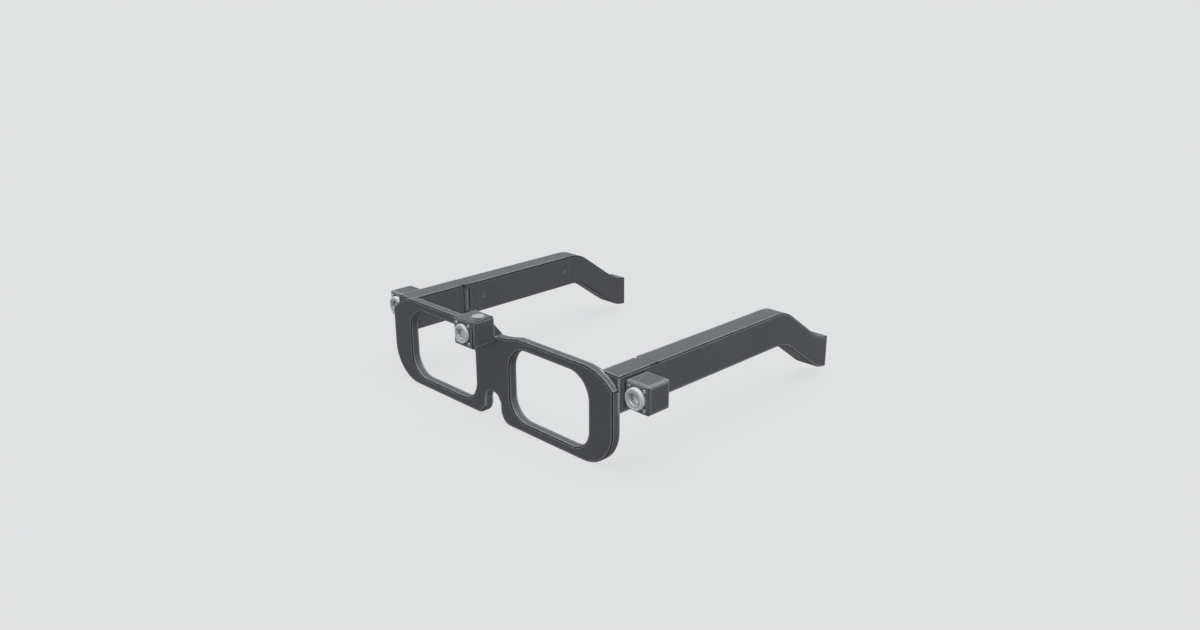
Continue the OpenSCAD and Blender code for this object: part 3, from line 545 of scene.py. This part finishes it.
def makeBoard(name, look):
    # Solder mask over copper tracks that run across each other, with a fine glass weave
    material, tree, shader = startMaterial(name, Specular_IOR_Level=look["shine"])
    place = objectPlace(tree)
    upright = (math.radians(90), 0, math.radians(90))
    turned = addNode(tree, "Mapping", None, Vector=place, Rotation=upright).outputs[0]
    tracks = addNode(tree, "TexBrick", {"offset": 0.5, "squash": 1.0}, Vector=turned,
                     Scale=look["trackScale"], **look["tracks"])
    lines = mathNode(tree, "SUBTRACT", 1.0, tracks.outputs["Fac"])
    weave = noise(tree, place, look["weaveScale"], 2.0)
    dustAndShade = placeGroup(tree, crevice, look["seams"])
    colour = mixColour(tree, weave, *[linear(tone) for tone in look["tones"]])
    share = mathNode(tree, "MULTIPLY", lines, look["trackShare"])
    colour = mixColour(tree, share, linear(look["track"]), colour)
    # Dust and painted shade in the seams
    colour = mixColour(tree, dustAndShade["Mask"], colour, linear(look["dustAndShadeTone"]))
    rough = spreadNoise(tree, weave, *look["roughness"])
    finishMaterial(tree, shader, colour, rough, mathNode(tree, "ADD", weave, lines), look["depth"])
    return material


foilLook = {
    "tones": ("A9ACB0", "C3C6C9"),
    "roughness": (0.3, 0.5),
    "metal": 0.9,
    "creaseScale": 220,
    "creaseWidth": 0.12,
    "rippleScale": 600,
    "depth": 0.06 * mm,
}


def makeFoil(name, look):
    # Pouch cell: creased aluminium laminate
    material, tree, shader = startMaterial(name, Metallic=look["metal"])
    place = objectPlace(tree)
    crease = addNode(tree, "TexVoronoi", {"feature": "DISTANCE_TO_EDGE"}, Vector=place,
                     Scale=look["creaseScale"]).outputs["Distance"]
    ripple = noise(tree, place, look["rippleScale"], 4.0)
    colour = mixColour(tree, ripple, *[linear(tone) for tone in look["tones"]])
    rough = spreadNoise(tree, ripple, *look["roughness"])
    folds = mathNode(tree, "ADD", mapRange(tree, crease, 0, look["creaseWidth"]), ripple)
    finishMaterial(tree, shader, colour, rough, folds, look["depth"])
    return material


ribbonLook = {
    "tones": ("B5651D", "C9792A"),
    "copper": "8E4413",
    "roughness": (0.3, 0.45),
    "coat": 0.3,
    "lineScale": 900,
    "line": (0.45, 0.6),    # height of the wave where copper starts and where it is full
    "cloudScale": 300,
    "depth": 0.01 * mm,
}


def makeRibbon(name, look):
    # Amber flat cable with copper lines along it
    material, tree, shader = startMaterial(name, Coat_Weight=look["coat"])
    place = objectPlace(tree)
    lines = addNode(tree, "TexWave", {"bands_direction": "Z"}, Vector=place,
                    Scale=look["lineScale"], Distortion=0.0).outputs["Fac"]
    cloud = noise(tree, place, look["cloudScale"], 2.0)
    amber = mixColour(tree, cloud, *[linear(tone) for tone in look["tones"]])
    copper = mapRange(tree, lines, *look["line"])
    colour = mixColour(tree, copper, amber, linear(look["copper"]))
    rough = spreadNoise(tree, cloud, *look["roughness"])
    finishMaterial(tree, shader, colour, rough, lines, look["depth"])
    return material


blastedLook = {
    "tones": ("8C8F92", "9C9FA2"),
    "roughness": (0.5, 0.7),
    "shine": 0.4,
    "gritScale": 6000,
    "depth": 0.008 * mm,
}


def makeBlasted(name, look):
    # Bead-blasted grey inside the lenses
    material, tree, shader = startMaterial(name, Specular_IOR_Level=look["shine"])
    grit = noise(tree, objectPlace(tree), look["gritScale"], 2.0)
    colour = mixColour(tree, grit, *[linear(tone) for tone in look["tones"]])
    rough = spreadNoise(tree, grit, *look["roughness"])
    finishMaterial(tree, shader, colour, rough, grit, look["depth"])
    return material


framePlastic = makePlastic("framePlastic", plasticLook)
cameraPlastic = makePlastic("cameraPlastic", cameraPlasticLook)
rightBarPlastic = makePlastic("rightBarPlastic", {**barPlasticLook, "seam": -44.7 * mm})
leftBarPlastic = makePlastic("leftBarPlastic", {**barPlasticLook, "seam": -33.2 * mm})
switchPlastic = makePlastic("switchPlastic", switchPlasticLook)
lensRing = makeTurnedMetal("lensRing", ringLook)
retainingRing = makeTurnedMetal("retainingRing", retainingRingLook)
buttonMetal = makeTurnedMetal("buttonMetal", buttonMetalLook)
screwMetal = makeMetal("screwMetal", screwMetalLook)
hingeSteel = makeMetal("hingeSteel", hingeSteelLook)
contactGold = makeMetal("contactGold", contactGoldLook)
boardMask = makeBoard("boardMask", boardLook)
cellFoil = makeFoil("cellFoil", foilLook)
flatCable = makeRibbon("flatCable", ribbonLook)
lensBaffle = makeBlasted("lensBaffle", blastedLook)
frontGlass = makeGlass("frontGlass", frontGlassLook)
innerGlass = makeGlass("innerGlass", innerGlassLook)
print("materials ready")


smoothUpTo = 34     # degrees between faces that are shaded as one surface


def addPiece(bm, name, material, body, replaced=()):
    for face in bm.faces:
        face.smooth = True
    for edge in bm.edges:
        soft = edge.calc_face_angle(0) < math.radians(smoothUpTo)
        edge.smooth = len(edge.link_faces) == 2 and soft
    mesh = bpy.data.meshes.new(name)
    bm.to_mesh(mesh)
    bm.free()
    if "custom_normal" in mesh.attributes:      # a leftover of the node that was copied
        mesh.attributes.remove(mesh.attributes["custom_normal"])
    mesh.materials.append(material)
    piece = bpy.data.objects.new(name, mesh)
    scene.collection.objects.link(piece)
    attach(piece, body)
    if replaced:
        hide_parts(*replaced)
    return piece


easing = {
    "merge": 0.002,         # mm between corners that are one
    "flat": 0.5,            # degrees between faces that are one flat
    "sharp": 30,            # degrees from which an edge is eased
    "bend": 1,              # degrees from which an edge counts as one
    "inLine": 0.94,         # cosine between two edges that run on almost in line
    "smallest": 3.5,        # mm across the smallest outline that is eased
    "clear": 16,            # mm that are free in front of both faces of an eased edge
    "lift": 0.02,           # mm off the faces where the look for that starts
    "reach": 0.45,          # mm, the radius of a tight curve
    "narrow": 0.6,          # mm across the widest face that counts as a rounding
    "tight": 0.7,           # how tight a curve is that its whole face counts as the edge
    "samePlane": 0.99996,   # cosine between faces that are refilled as one
    "foldShare": 1.0005,    # how much larger a folded face's triangles are,
    "foldArea": 1e-11,      # and by how many square metres at least
    "normalWeight": 60,
}
tiny = 1e-6         # in place of a length of 0
touching = 1e-7     # metres between corners of turned pieces and screws that are one


def edgeChains(edges):
    # Groups of edges that touch each other
    left, chains = set(edges), []
    while left:
        chain, queue = [], [left.pop()]
        while queue:
            edge = queue.pop()
            chain.append(edge)
            for vert in edge.verts:
                for other in vert.link_edges:
                    if other in left:
                        left.remove(other)
                        queue.append(other)
        chains.append(chain)
    return chains


def spanOf(chain):
    points = [vert.co for edge in chain for vert in edge.verts]
    return max(max(p[k] for p in points) - min(p[k] for p in points) for k in range(3))


def wholeTree():
    # Every node's faces in one tree, to tell where an edge stands free
    points, faces = [], []
    for node in nodes.values():
        start = len(points)
        points += [vert.co.copy() for vert in node.data.vertices]
        faces += [[start + i for i in poly.vertices] for poly in node.data.polygons]
    return BVHTree.FromPolygons(points, faces)


everything = wholeTree()


def standsFree(edge, clear):
    # Nothing is near in front of either face, as it is in pockets and where pieces meet
    middle = (edge.verts[0].co + edge.verts[1].co) / 2
    for face in edge.link_faces:
        start = middle + face.normal * easing["lift"] * mm
        if everything.ray_cast(start, face.normal, clear * mm)[0] is not None:
            return False
    return True


def direction(edge, vert):
    return (edge.other_vert(vert).co - vert.co).normalized()


def freeEdges(bm, clear):
    # Sharp outer edges that stand free, but not those that meet another edge almost in line and
    # would bevel badly
    bend, clean = math.radians(easing["bend"]), []
    for edge in bm.edges:
        sharp = edge.calc_face_angle_signed(0) >= math.radians(easing["sharp"])
        if len(edge.link_faces) != 2 or not sharp:
            continue
        meets = [direction(other, vert).dot(direction(edge, vert))
                 for vert in edge.verts for other in vert.link_edges
                 if other is not edge and other.calc_face_angle(0) > bend]
        if max(meets) < easing["inLine"] and (not clear or standsFree(edge, clear)):
            clean.append(edge)
    return clean


def foldedFaces(bm):
    # Faces whose triangles don't add up to their area
    share = {}
    for a, b, c in bm.calc_loop_triangles():
        size = (b.vert.co - a.vert.co).cross(c.vert.co - a.vert.co).length / 2
        share[a.face] = share.get(a.face, 0) + size
    more, least = easing["foldShare"], easing["foldArea"]
    return {face for face, size in share.items() if size > face.calc_area() * more + least}


def flatRegions(bm):
    # Groups of neighbouring faces that lie in one plane
    seen, regions = set(), []
    for start in bm.faces:
        if start in seen:
            continue
        seen.add(start)
        region, queue = [], [start]
        while queue:
            face = queue.pop()
            region.append(face)
            for edge in face.edges:
                for other in edge.link_faces:
                    turn = other.normal.dot(start.normal)
                    if other not in seen and turn > easing["samePlane"]:
                        seen.add(other)
                        queue.append(other)
        regions.append(region)
    return regions


def refillFlats(bm):
    # Flat faces that easing their outlines has folded are filled afresh between these
    folded = foldedFaces(bm)
    damaged = [region for region in flatRegions(bm) if folded.intersection(region)]
    for region in damaged:
        inside = set(region)
        normal = sum((face.normal * face.calc_area() for face in region), Vector()).normalized()
        outline = [edge for face in region for edge in face.edges
                   if any(other not in inside for other in edge.link_faces)]
        bmesh.ops.delete(bm, geom=region, context="FACES")
        made = bmesh.ops.triangle_fill(bm, use_beauty=True, use_dissolve=False, edges=outline,
                                       normal=normal)["geom"]
        wrong = [f for f in made if isinstance(f, bmesh.types.BMFace) and f.normal.dot(normal) < 0]
        if wrong:
            bmesh.ops.reverse_faces(bm, faces=wrong)


def markEdgeBends(bm):
    # Writes on the narrow faces how tightly they curve outwards: 1 along an edge, 0 on flats
    bends = {vert: 0.0 for vert in bm.verts}
    for edge in bm.edges:
        if len(edge.link_faces) != 2:
            continue
        turn = edge.calc_face_angle_signed(0)
        length = max(edge.calc_length(), tiny)
        across = max(sum(face.calc_area() for face in edge.link_faces) / 2 / length, tiny)
        bend = min(1.0, max(0.0, turn / across * easing["reach"] * mm))
        for vert in edge.verts:
            bends[vert] = max(bends[vert], bend)
    layer = bm.loops.layers.float.new("edgeBend")
    for face in bm.faces:
        longest = max(edge.calc_length() for edge in face.edges)
        if face.calc_area() / longest < easing["narrow"] * mm:
            tightest = max(bends[vert] for vert in face.verts)
            for loop in face.loops:
                loop[layer] = tightest if tightest > easing["tight"] else bends[loop.vert]


def softCopy(node, width, clear):
    # The node's own shape with its long outer edges eased; small holes keep theirs
    bm = bmesh.new()
    bm.from_mesh(nodes[node].data)
    bmesh.ops.remove_doubles(bm, verts=bm.verts, dist=easing["merge"] * mm)
    bmesh.ops.dissolve_limit(bm, angle_limit=math.radians(easing["flat"]), verts=bm.verts,
                             edges=bm.edges)
    chains = [c for c in edgeChains(freeEdges(bm, clear)) if spanOf(c) > easing["smallest"] * mm]
    if chains:
        bmesh.ops.bevel(bm, geom=[edge for chain in chains for edge in chain], offset=width * mm,
                        offset_type="OFFSET", affect="EDGES", segments=2, profile=0.5,
                        clamp_overlap=False, material=-1)
    bm.normal_update()
    refillFlats(bm)
    markEdgeBends(bm)
    return bm


def weightNormals(piece):
    # Keeps flat faces flat beside their rounded edges
    modifier = piece.modifiers.new("weights", "WEIGHTED_NORMAL")
    modifier.keep_sharp = True
    modifier.weight = easing["normalWeight"]


# width: how wide the edges are eased, in mm; a clear of 0 eases them beside other pieces too
plasticPieces = {
    "frontPlate": {"node": "front_frame", "width": 0.5, "plastic": framePlastic},
    "browStrip": {"node": "brow_cover", "width": 0.1, "clear": 0, "plastic": cameraPlastic},
    "bridgeBox": {"node": "bridge_housing", "width": 0.12, "plastic": cameraPlastic},
    "bridgeWedge": {"node": "bridge_bracket", "width": 0.08, "plastic": cameraPlastic},
}
# And those that are there on both sides, in that side's own plastic where none is named
sidePieces = {
    "CameraBox": {"node": "camera_housing", "width": 0.12, "plastic": cameraPlastic},
    "EndBlock": {"node": "endpiece", "width": 0.45},
    "EndCover": {"node": "endpiece_cover", "width": 0.1, "clear": 0},
    "Temple": {"node": "temple_shell", "body": "temple", "width": 0.5},
    "TempleCover": {"node": "temple_cover", "body": "temple", "width": 0.1, "clear": 0},
}
for name, plan in sidePieces.items():
    for side, plastic in (("right", rightBarPlastic), ("left", leftBarPlastic)):
        own = {"plastic": plastic, **plan}
        own.update({key: side + "_" + plan[key] for key in ("node", "body") if key in plan})
        plasticPieces[side + name] = own

for name, plan in plasticPieces.items():
    shape = softCopy(plan["node"], plan["width"], plan.get("clear", easing["clear"]))
    body = plan.get("body", "front")
    piece = addPiece(shape, name, plan["plastic"], body, [plan["node"]])
    weightNormals(piece)
    print(name, len(piece.data.polygons), "faces")


def turnProfile(points, centre, outward, radial, steps, closed=True):
    # Points are (radius, distance outwards) in millimetres
    bm = bmesh.new()
    lathe = bm.verts.layers.float.new("lathe")
    outward, radial, centre = Vector(outward), Vector(radial), Vector(centre)
    verts, travel = [], 0.0
    for i, (radius, out) in enumerate(points):
        if i:
            travel += math.dist(points[i - 1], points[i]) * mm
        vert = bm.verts.new(centre + radial * radius * mm + outward * out * mm)
        vert[lathe] = travel
        verts.append(vert)
    pairs = list(zip(verts, verts[1:])) + ([(verts[-1], verts[0])] if closed else [])
    edges = [bm.edges.new(pair) for pair in pairs]
    bmesh.ops.spin(bm, geom=verts + edges, cent=centre, axis=outward, angle=math.tau, steps=steps,
                   use_merge=True)
    bmesh.ops.remove_doubles(bm, verts=bm.verts, dist=touching)
    bmesh.ops.recalc_face_normals(bm, faces=bm.faces)
    return bm


turnedSharp = 35    # degrees from which a turned edge is eased


def bevelRings(bm, width):
    sharp = math.radians(turnedSharp)
    edges = [e for e in bm.edges if len(e.link_faces) == 2 and e.calc_face_angle() > sharp]
    bmesh.ops.bevel(bm, geom=edges, offset=width * mm, offset_type="OFFSET", affect="EDGES",
                    segments=2, profile=0.5, clamp_overlap=True, material=-1)


# All in mm; out is how far the ring stands out of its box, tube how far the barrel goes in
lensLook = {
    "bridge": {"radius": 4.3, "out": 1.45, "tube": 4.0},
    "right": {"radius": 4.7, "out": 1.9, "tube": 6.0},
    "left": {"radius": 4.7, "out": 1.9, "tube": 6.0},
    "steps": 72,
    "innerSteps": 48,
    "glassShare": 0.5,      # of the ring's radius
    "cone": 0.9,            # from the rim down to the glass
    "glassThick": 1.1,      # from there back to its seat
    "wall": 1.1,            # from the ring's outside to its tube's, in the hole of the box
    "splitShare": 0.52,     # where between glass and rim the retaining ring meets the barrel
    "fit": 0.02,            # gap between pieces that lie in each other
}


def lensPlan(side, shared):
    # The measures that the pieces of a lens share
    plan = dict(shared[side])
    low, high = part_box(side + "_lens_barrel")
    out = plan["out"]
    plan["centre"] = Vector(((low.x + high.x) / 2, low.y + out * mm, (low.z + high.z) / 2))
    plan["glass"] = plan["radius"] * shared["glassShare"]
    plan["seat"] = out - shared["cone"] - shared["glassThick"]
    plan["hole"] = plan["radius"] - shared["wall"]
    plan["split"] = plan["glass"] + shared["splitShare"] * (plan["radius"] - plan["glass"])
    return plan


def turnForwards(points, plan, steps, closed=True):
    return turnProfile(points, plan["centre"], (0, -1, 0), (1, 0, 0), steps, closed)


barrelLook = {
    "tubeWall": 0.35,
    "groove": (0.32, 0.4, 0.52, 0.6),       # grip groove: its edges and its floor's, from the box
    "grooveDeep": 0.14,
    "rim": 0.25,
    "innerRim": 0.12,
    "shelf": 0.3,           # from the glass back to where the wide bore ends
    "bevel": 0.05,
}


def makeBarrel(side, plan, look):
    r, out, tube, hole, split = (plan[key] for key in ("radius", "out", "tube", "hole", "split"))
    bore, floor = hole - look["tubeWall"], r - look["grooveDeep"]
    start, floorStart, floorEnd, end = look["groove"]
    back = plan["seat"] - look["shelf"]
    points = [(bore, -tube), (hole, -tube), (hole, 0), (r, 0), (r, start), (floor, floorStart),
              (floor, floorEnd), (r, end), (r, out - look["rim"]), (r - look["rim"], out),
              (split + look["innerRim"], out), (split, out - look["innerRim"]), (split, back),
              (bore, back)]
    barrel = turnForwards(points, plan, lensLook["steps"])
    bevelRings(barrel, look["bevel"])
    addPiece(barrel, side + "Barrel", lensRing, "front", [side + "_lens_barrel"])


retainingLook = {
    "sunk": 0.18,           # below the barrel's rim
    "chamfer": 0.1,
    "coneRim": 0.3,         # from the glass out to where the cone meets the face
    "coneFoot": 0.06,       # how much deeper the cone's foot lies than lensLook's cone says
    "ledge": 0.4,           # what the glass seats on
    "back": 0.28,           # how thick that is
    "bevel": 0.03,
    "notchAngle": -24,      # where the ring spanner grips
    "notchHalf": 9,         # degrees
    "notchDeep": 0.3,
    "slack": 0.02,          # how far off the flat front a face may be that is cut
}


def makeRetainingRing(side, plan, look):
    # Round the glass, with its two spanner notches
    g, seat, out = plan["glass"], plan["seat"], plan["out"]
    lip, outside = out - look["sunk"], plan["split"] - lensLook["fit"]
    foot = out - lensLook["cone"] - look["coneFoot"]
    inside, back = g - look["ledge"], seat - look["back"]
    points = [(outside, lip - look["chamfer"]), (plan["split"] - look["chamfer"], lip),
              (g + look["coneRim"], lip), (g, foot), (g, seat), (inside, seat), (inside, back),
              (outside, back)]
    ring = turnForwards(points, plan, lensLook["steps"])
    cutNotches(ring, plan, lip, look)
    bevelRings(ring, look["bevel"])
    addPiece(ring, side + "RetainingRing", retainingRing, "front")


def cutNotches(bm, plan, lip, look):
    # Two notches across the ring's face, opposite each other
    slack = look["slack"]
    nearest = plan["glass"] + look["coneRim"] - slack
    farthest = plan["split"] - look["chamfer"] + slack
    for turn in (look["notchAngle"], look["notchAngle"] + 180):
        faces = []
        for face in bm.faces:
            place = face.calc_center_median() - plan["centre"]
            bearing = math.degrees(math.atan2(place.z, place.x))
            off = abs((bearing - turn + 180) % 360 - 180)
            radius = math.hypot(place.x, place.z) / mm
            onFace = nearest < radius < farthest and -place.y / mm > lip - slack
            if off < look["notchHalf"] and onFace:
                faces.append(face)
        moved = bmesh.ops.extrude_face_region(bm, geom=faces)["geom"]
        verts = [v for v in moved if isinstance(v, bmesh.types.BMVert)]
        bmesh.ops.translate(bm, verts=verts, vec=(0, look["notchDeep"] * mm, 0))
        bmesh.ops.delete(bm, geom=[f for f in faces if f.is_valid], context="FACES")


# mouth: how much narrower than the glass they start; tail: how far they end before the tube does
baffleLook = {"steps": 4, "mouth": 0.5, "stepIn": 0.18, "stepDeep": 0.25, "tail": 0.1}


def makeBaffles(side, plan, look):
    # Steps behind the glass that stop stray light
    fit = lensLook["fit"]
    outside = plan["hole"] - barrelLook["tubeWall"] - fit
    depth = plan["seat"] - barrelLook["shelf"] - fit
    back, inner = look["tail"] - plan["tube"], plan["glass"] - look["mouth"]
    points = [(outside, back), (outside, depth), (inner, depth)]
    for _ in range(look["steps"]):
        depth -= look["stepDeep"]
        points += [(inner, depth), (inner - look["stepIn"], depth)]
        inner -= look["stepIn"]
    points += [(inner, back)]
    tunnel = turnForwards(points, plan, lensLook["innerSteps"])
    addPiece(tunnel, side + "Baffle", lensBaffle, "front")


frontElementLook = {
    "sphereShare": 2.2,     # the front's radius, as a share of the glass's
    "fit": 0.03,
    "crown": 0.42,          # how far its middle stands out past glassThick
    "flat": 0.42,           # ground flat at the back
    "hollow": 0.3,
    "hollowEdge": 0.45,
    "steps": 8,
    "hollowSteps": 5,
}


def makeFrontElement(side, plan, look):
    # A meniscus with a ground edge
    edge, sphere = plan["glass"] - look["fit"], look["sphereShare"] * plan["glass"]
    seat, hollow = plan["seat"] + lensLook["fit"], edge - look["hollowEdge"]
    crown = plan["seat"] + lensLook["glassThick"] + look["crown"]
    points = []
    for i in range(look["steps"] + 1):
        x = edge * i / look["steps"]
        points.append((x, crown - (sphere - math.sqrt(sphere ** 2 - x ** 2))))
    points += [(edge, seat), (edge - look["flat"], seat)]
    for i in range(look["hollowSteps"], -1, -1):
        x = hollow * i / look["hollowSteps"]
        points.append((x, seat + look["hollow"] * (1 - (x / hollow) ** 2)))
    dome = turnForwards(points, plan, lensLook["steps"], closed=False)
    addPiece(dome, side + "FrontElement", frontGlass, "front", [side + "_lens_glass"])


# crown and back: how far its front and its back lie behind the seat of the first
secondElementLook = {"inside": 0.72, "crown": 0.62, "drop": 0.35, "back": 1.25, "steps": 6}


def makeSecondElement(side, plan, look):
    hold, seat = plan["glass"] - look["inside"], plan["seat"]
    points = []
    for i in range(look["steps"] + 1):
        x = hold * i / look["steps"]
        points.append((x, seat - look["crown"] - look["drop"] * (x / hold) ** 2))
    points += [(hold, seat - look["back"]), (0, seat - look["back"])]
    second = turnForwards(points, plan, lensLook["innerSteps"], closed=False)
    addPiece(second, side + "SecondElement", innerGlass, "front")


for side in ("bridge", "right", "left"):
    plan = lensPlan(side, lensLook)
    makeBarrel(side, plan, barrelLook)
    makeRetainingRing(side, plan, retainingLook)
    makeBaffles(side, plan, baffleLook)
    makeFrontElement(side, plan, frontElementLook)
    makeSecondElement(side, plan, secondElementLook)
    print(side, "lens ready")


screwLook = {
    "radius": 0.8,
    "proud": 0.3,
    "sideShare": 0.62,      # how much of that is the head's upright side
    "dome": ((0.93, 0.24), (0.8, 0.14)),    # shares of the radius and of proud, ring by ring
    "socket": 0.36,
    "socketDeep": 0.2,
    "socketSides": 6,
    "shaft": 0.4,
    "length": 1.2,
    "sides": 24,
    "turns": (17, 41),      # degrees: the first screw's, and what each next one is turned by
}


def pushFace(bm, face, lift=0.0):
    made = bmesh.ops.extrude_discrete_faces(bm, faces=[face])["faces"][0]
    bmesh.ops.translate(bm, verts=made.verts, vec=(0, 0, lift * mm))
    return made


def addScrew(bm, place, look):
    # Low domed head with a hexagon socket, its shaft behind it
    r, shaft, proud = look["radius"], look["shaft"], look["proud"]
    made = bmesh.ops.create_circle(bm, cap_ends=True, radius=shaft * mm, segments=look["sides"],
                                   matrix=Matrix.Translation((0, 0, -look["length"] * mm)))
    face = made["verts"][0].link_faces[0]
    if face.normal.z < 0:
        face.normal_flip()
    face = pushFace(bm, face, look["length"])
    face = pushFace(bm, face)
    bmesh.ops.scale(bm, verts=face.verts, vec=(r / shaft, r / shaft, 1))
    face = pushFace(bm, face, proud * look["sideShare"])
    for share, lift in look["dome"]:
        face = pushFace(bm, face, proud * lift)
        size = share * r * mm / face.verts[0].co.xy.length
        bmesh.ops.scale(bm, verts=face.verts, vec=(size, size, 1))
    face = pushFace(bm, face)
    half = math.pi / look["socketSides"]
    for vert in face.verts:
        turn = math.atan2(vert.co.y, vert.co.x) % (2 * half) - half
        reach = look["socket"] * mm * math.cos(half) / math.cos(turn)
        vert.co.xy = vert.co.xy.normalized() * reach
    pushFace(bm, face, -look["socketDeep"])
    bmesh.ops.transform(bm, matrix=place, verts=[v for v in bm.verts if not v.tag])
    for vert in bm.verts:
        vert.tag = True


def makeFaceScrews(side, look):
    # One in each corner round the lens
    node = side + "_face_screws"
    low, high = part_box(node)
    r, y = look["radius"] * mm, low.y + look["proud"] * mm
    spots = [(x, y, z) for x in (low.x + r, high.x - r) for z in (low.z + r, high.z - r)]
    forwards = Vector((0, 0, 1)).rotation_difference(Vector((0, -1, 0))).to_matrix().to_4x4()
    first, more = look["turns"]
    bm = bmesh.new()
    for i, spot in enumerate(spots):
        spin = Matrix.Rotation(math.radians(first + more * i), 4, "Z")
        addScrew(bm, Matrix.Translation(spot) @ forwards @ spin, look)
    bmesh.ops.remove_doubles(bm, verts=bm.verts, dist=touching)
    bmesh.ops.holes_fill(bm, edges=[e for e in bm.edges if len(e.link_faces) == 1], sides=0)
    bmesh.ops.recalc_face_normals(bm, faces=bm.faces)
    addPiece(bm, side + "FaceScrews", screwMetal, "front", [node])


for side in ("bridge", "right", "left"):
    makeFaceScrews(side, screwLook)
print("screws ready")


# All in mm, heights from the top of the bridge camera's box
buttonLook = {
    "radius": 2.8,
    "out": 0.8,
    "dish": 0.16,           # how deep the hollow for the finger is
    "dishEdge": 0.55,       # from the outside to where it starts
    "dishSteps": 8,
    "dishPower": 1.5,       # larger for a hollow that runs out more softly
    "rim": ((0.3, 0.0), (0.08, 0.09), (0.0, 0.3)),      # rounding: from the outside, from the top
    "side": 0.1,            # where its upright side ends
    "taper": 0.06,
    "skirt": 0.35,          # how far it goes down into the box
    "neck": 1.1,
    "neckLength": 1.85,
    "flange": 1.5,          # keeps it in the box
    "flangeThick": 0.4,
    "steps": 64,
}


def makeButton(look):
    low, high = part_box("shutter_button")
    centre = ((low.x + high.x) / 2, (low.y + high.y) / 2, high.z - look["out"] * mm)
    r, out, dish, steps = look["radius"], look["out"], look["dish"], look["dishSteps"]
    neck, flange, skirt, foot = look["neck"], look["flange"], -look["skirt"], -look["neckLength"]
    points = []
    for i in range(steps):
        share = i / steps
        hollow = dish * (1 - share ** 2) ** look["dishPower"]
        points.append(((r - look["dishEdge"]) * share, out - hollow))
    points.append((r - look["dishEdge"], out))
    points += [(r - inwards, out - down) for inwards, down in look["rim"]]
    points += [(r, look["side"]), (r - look["taper"], skirt), (neck, skirt),
               (neck, foot + look["flangeThick"]), (flange, foot + look["flangeThick"]),
               (flange, foot), (0, foot)]
    bm = turnProfile(points, centre, (0, 0, 1), (1, 0, 0), look["steps"], closed=False)
    addPiece(bm, "dishedButton", buttonMetal, "button", ["shutter_button"])


makeButton(buttonLook)
print("button ready")


def bothSides(*names):
    return [side + "_" + name for name in names for side in ("right", "left")]


# Nodes that keep their shape, by finish
keptNodes = (
    (cellFoil, bothSides("battery")),
    (flatCable, ["front_ribbon"]),
    (switchPlastic, ["shutter_switch"]),
    (contactGold, bothSides("contact_pads", "contact_pins") + ["charge_pads"]),
    (boardMask, bothSides("sensor_board", "link_board")
     + ["bridge_sensor_board", "main_board", "power_board"]),
    (hingeSteel, bothSides("camera_screws", "endpiece_screws", "frame_leaf", "cover_screws",
                           "temple_leaf", "hinge_pin")
     + ["bridge_fixing_screws", "bracket_screws"]),
)
for finish, names in keptNodes:
    for name in names:
        materials = nodes[name].data.materials
        for i in range(len(materials)):
            materials[i] = finish
print("finishes ready")
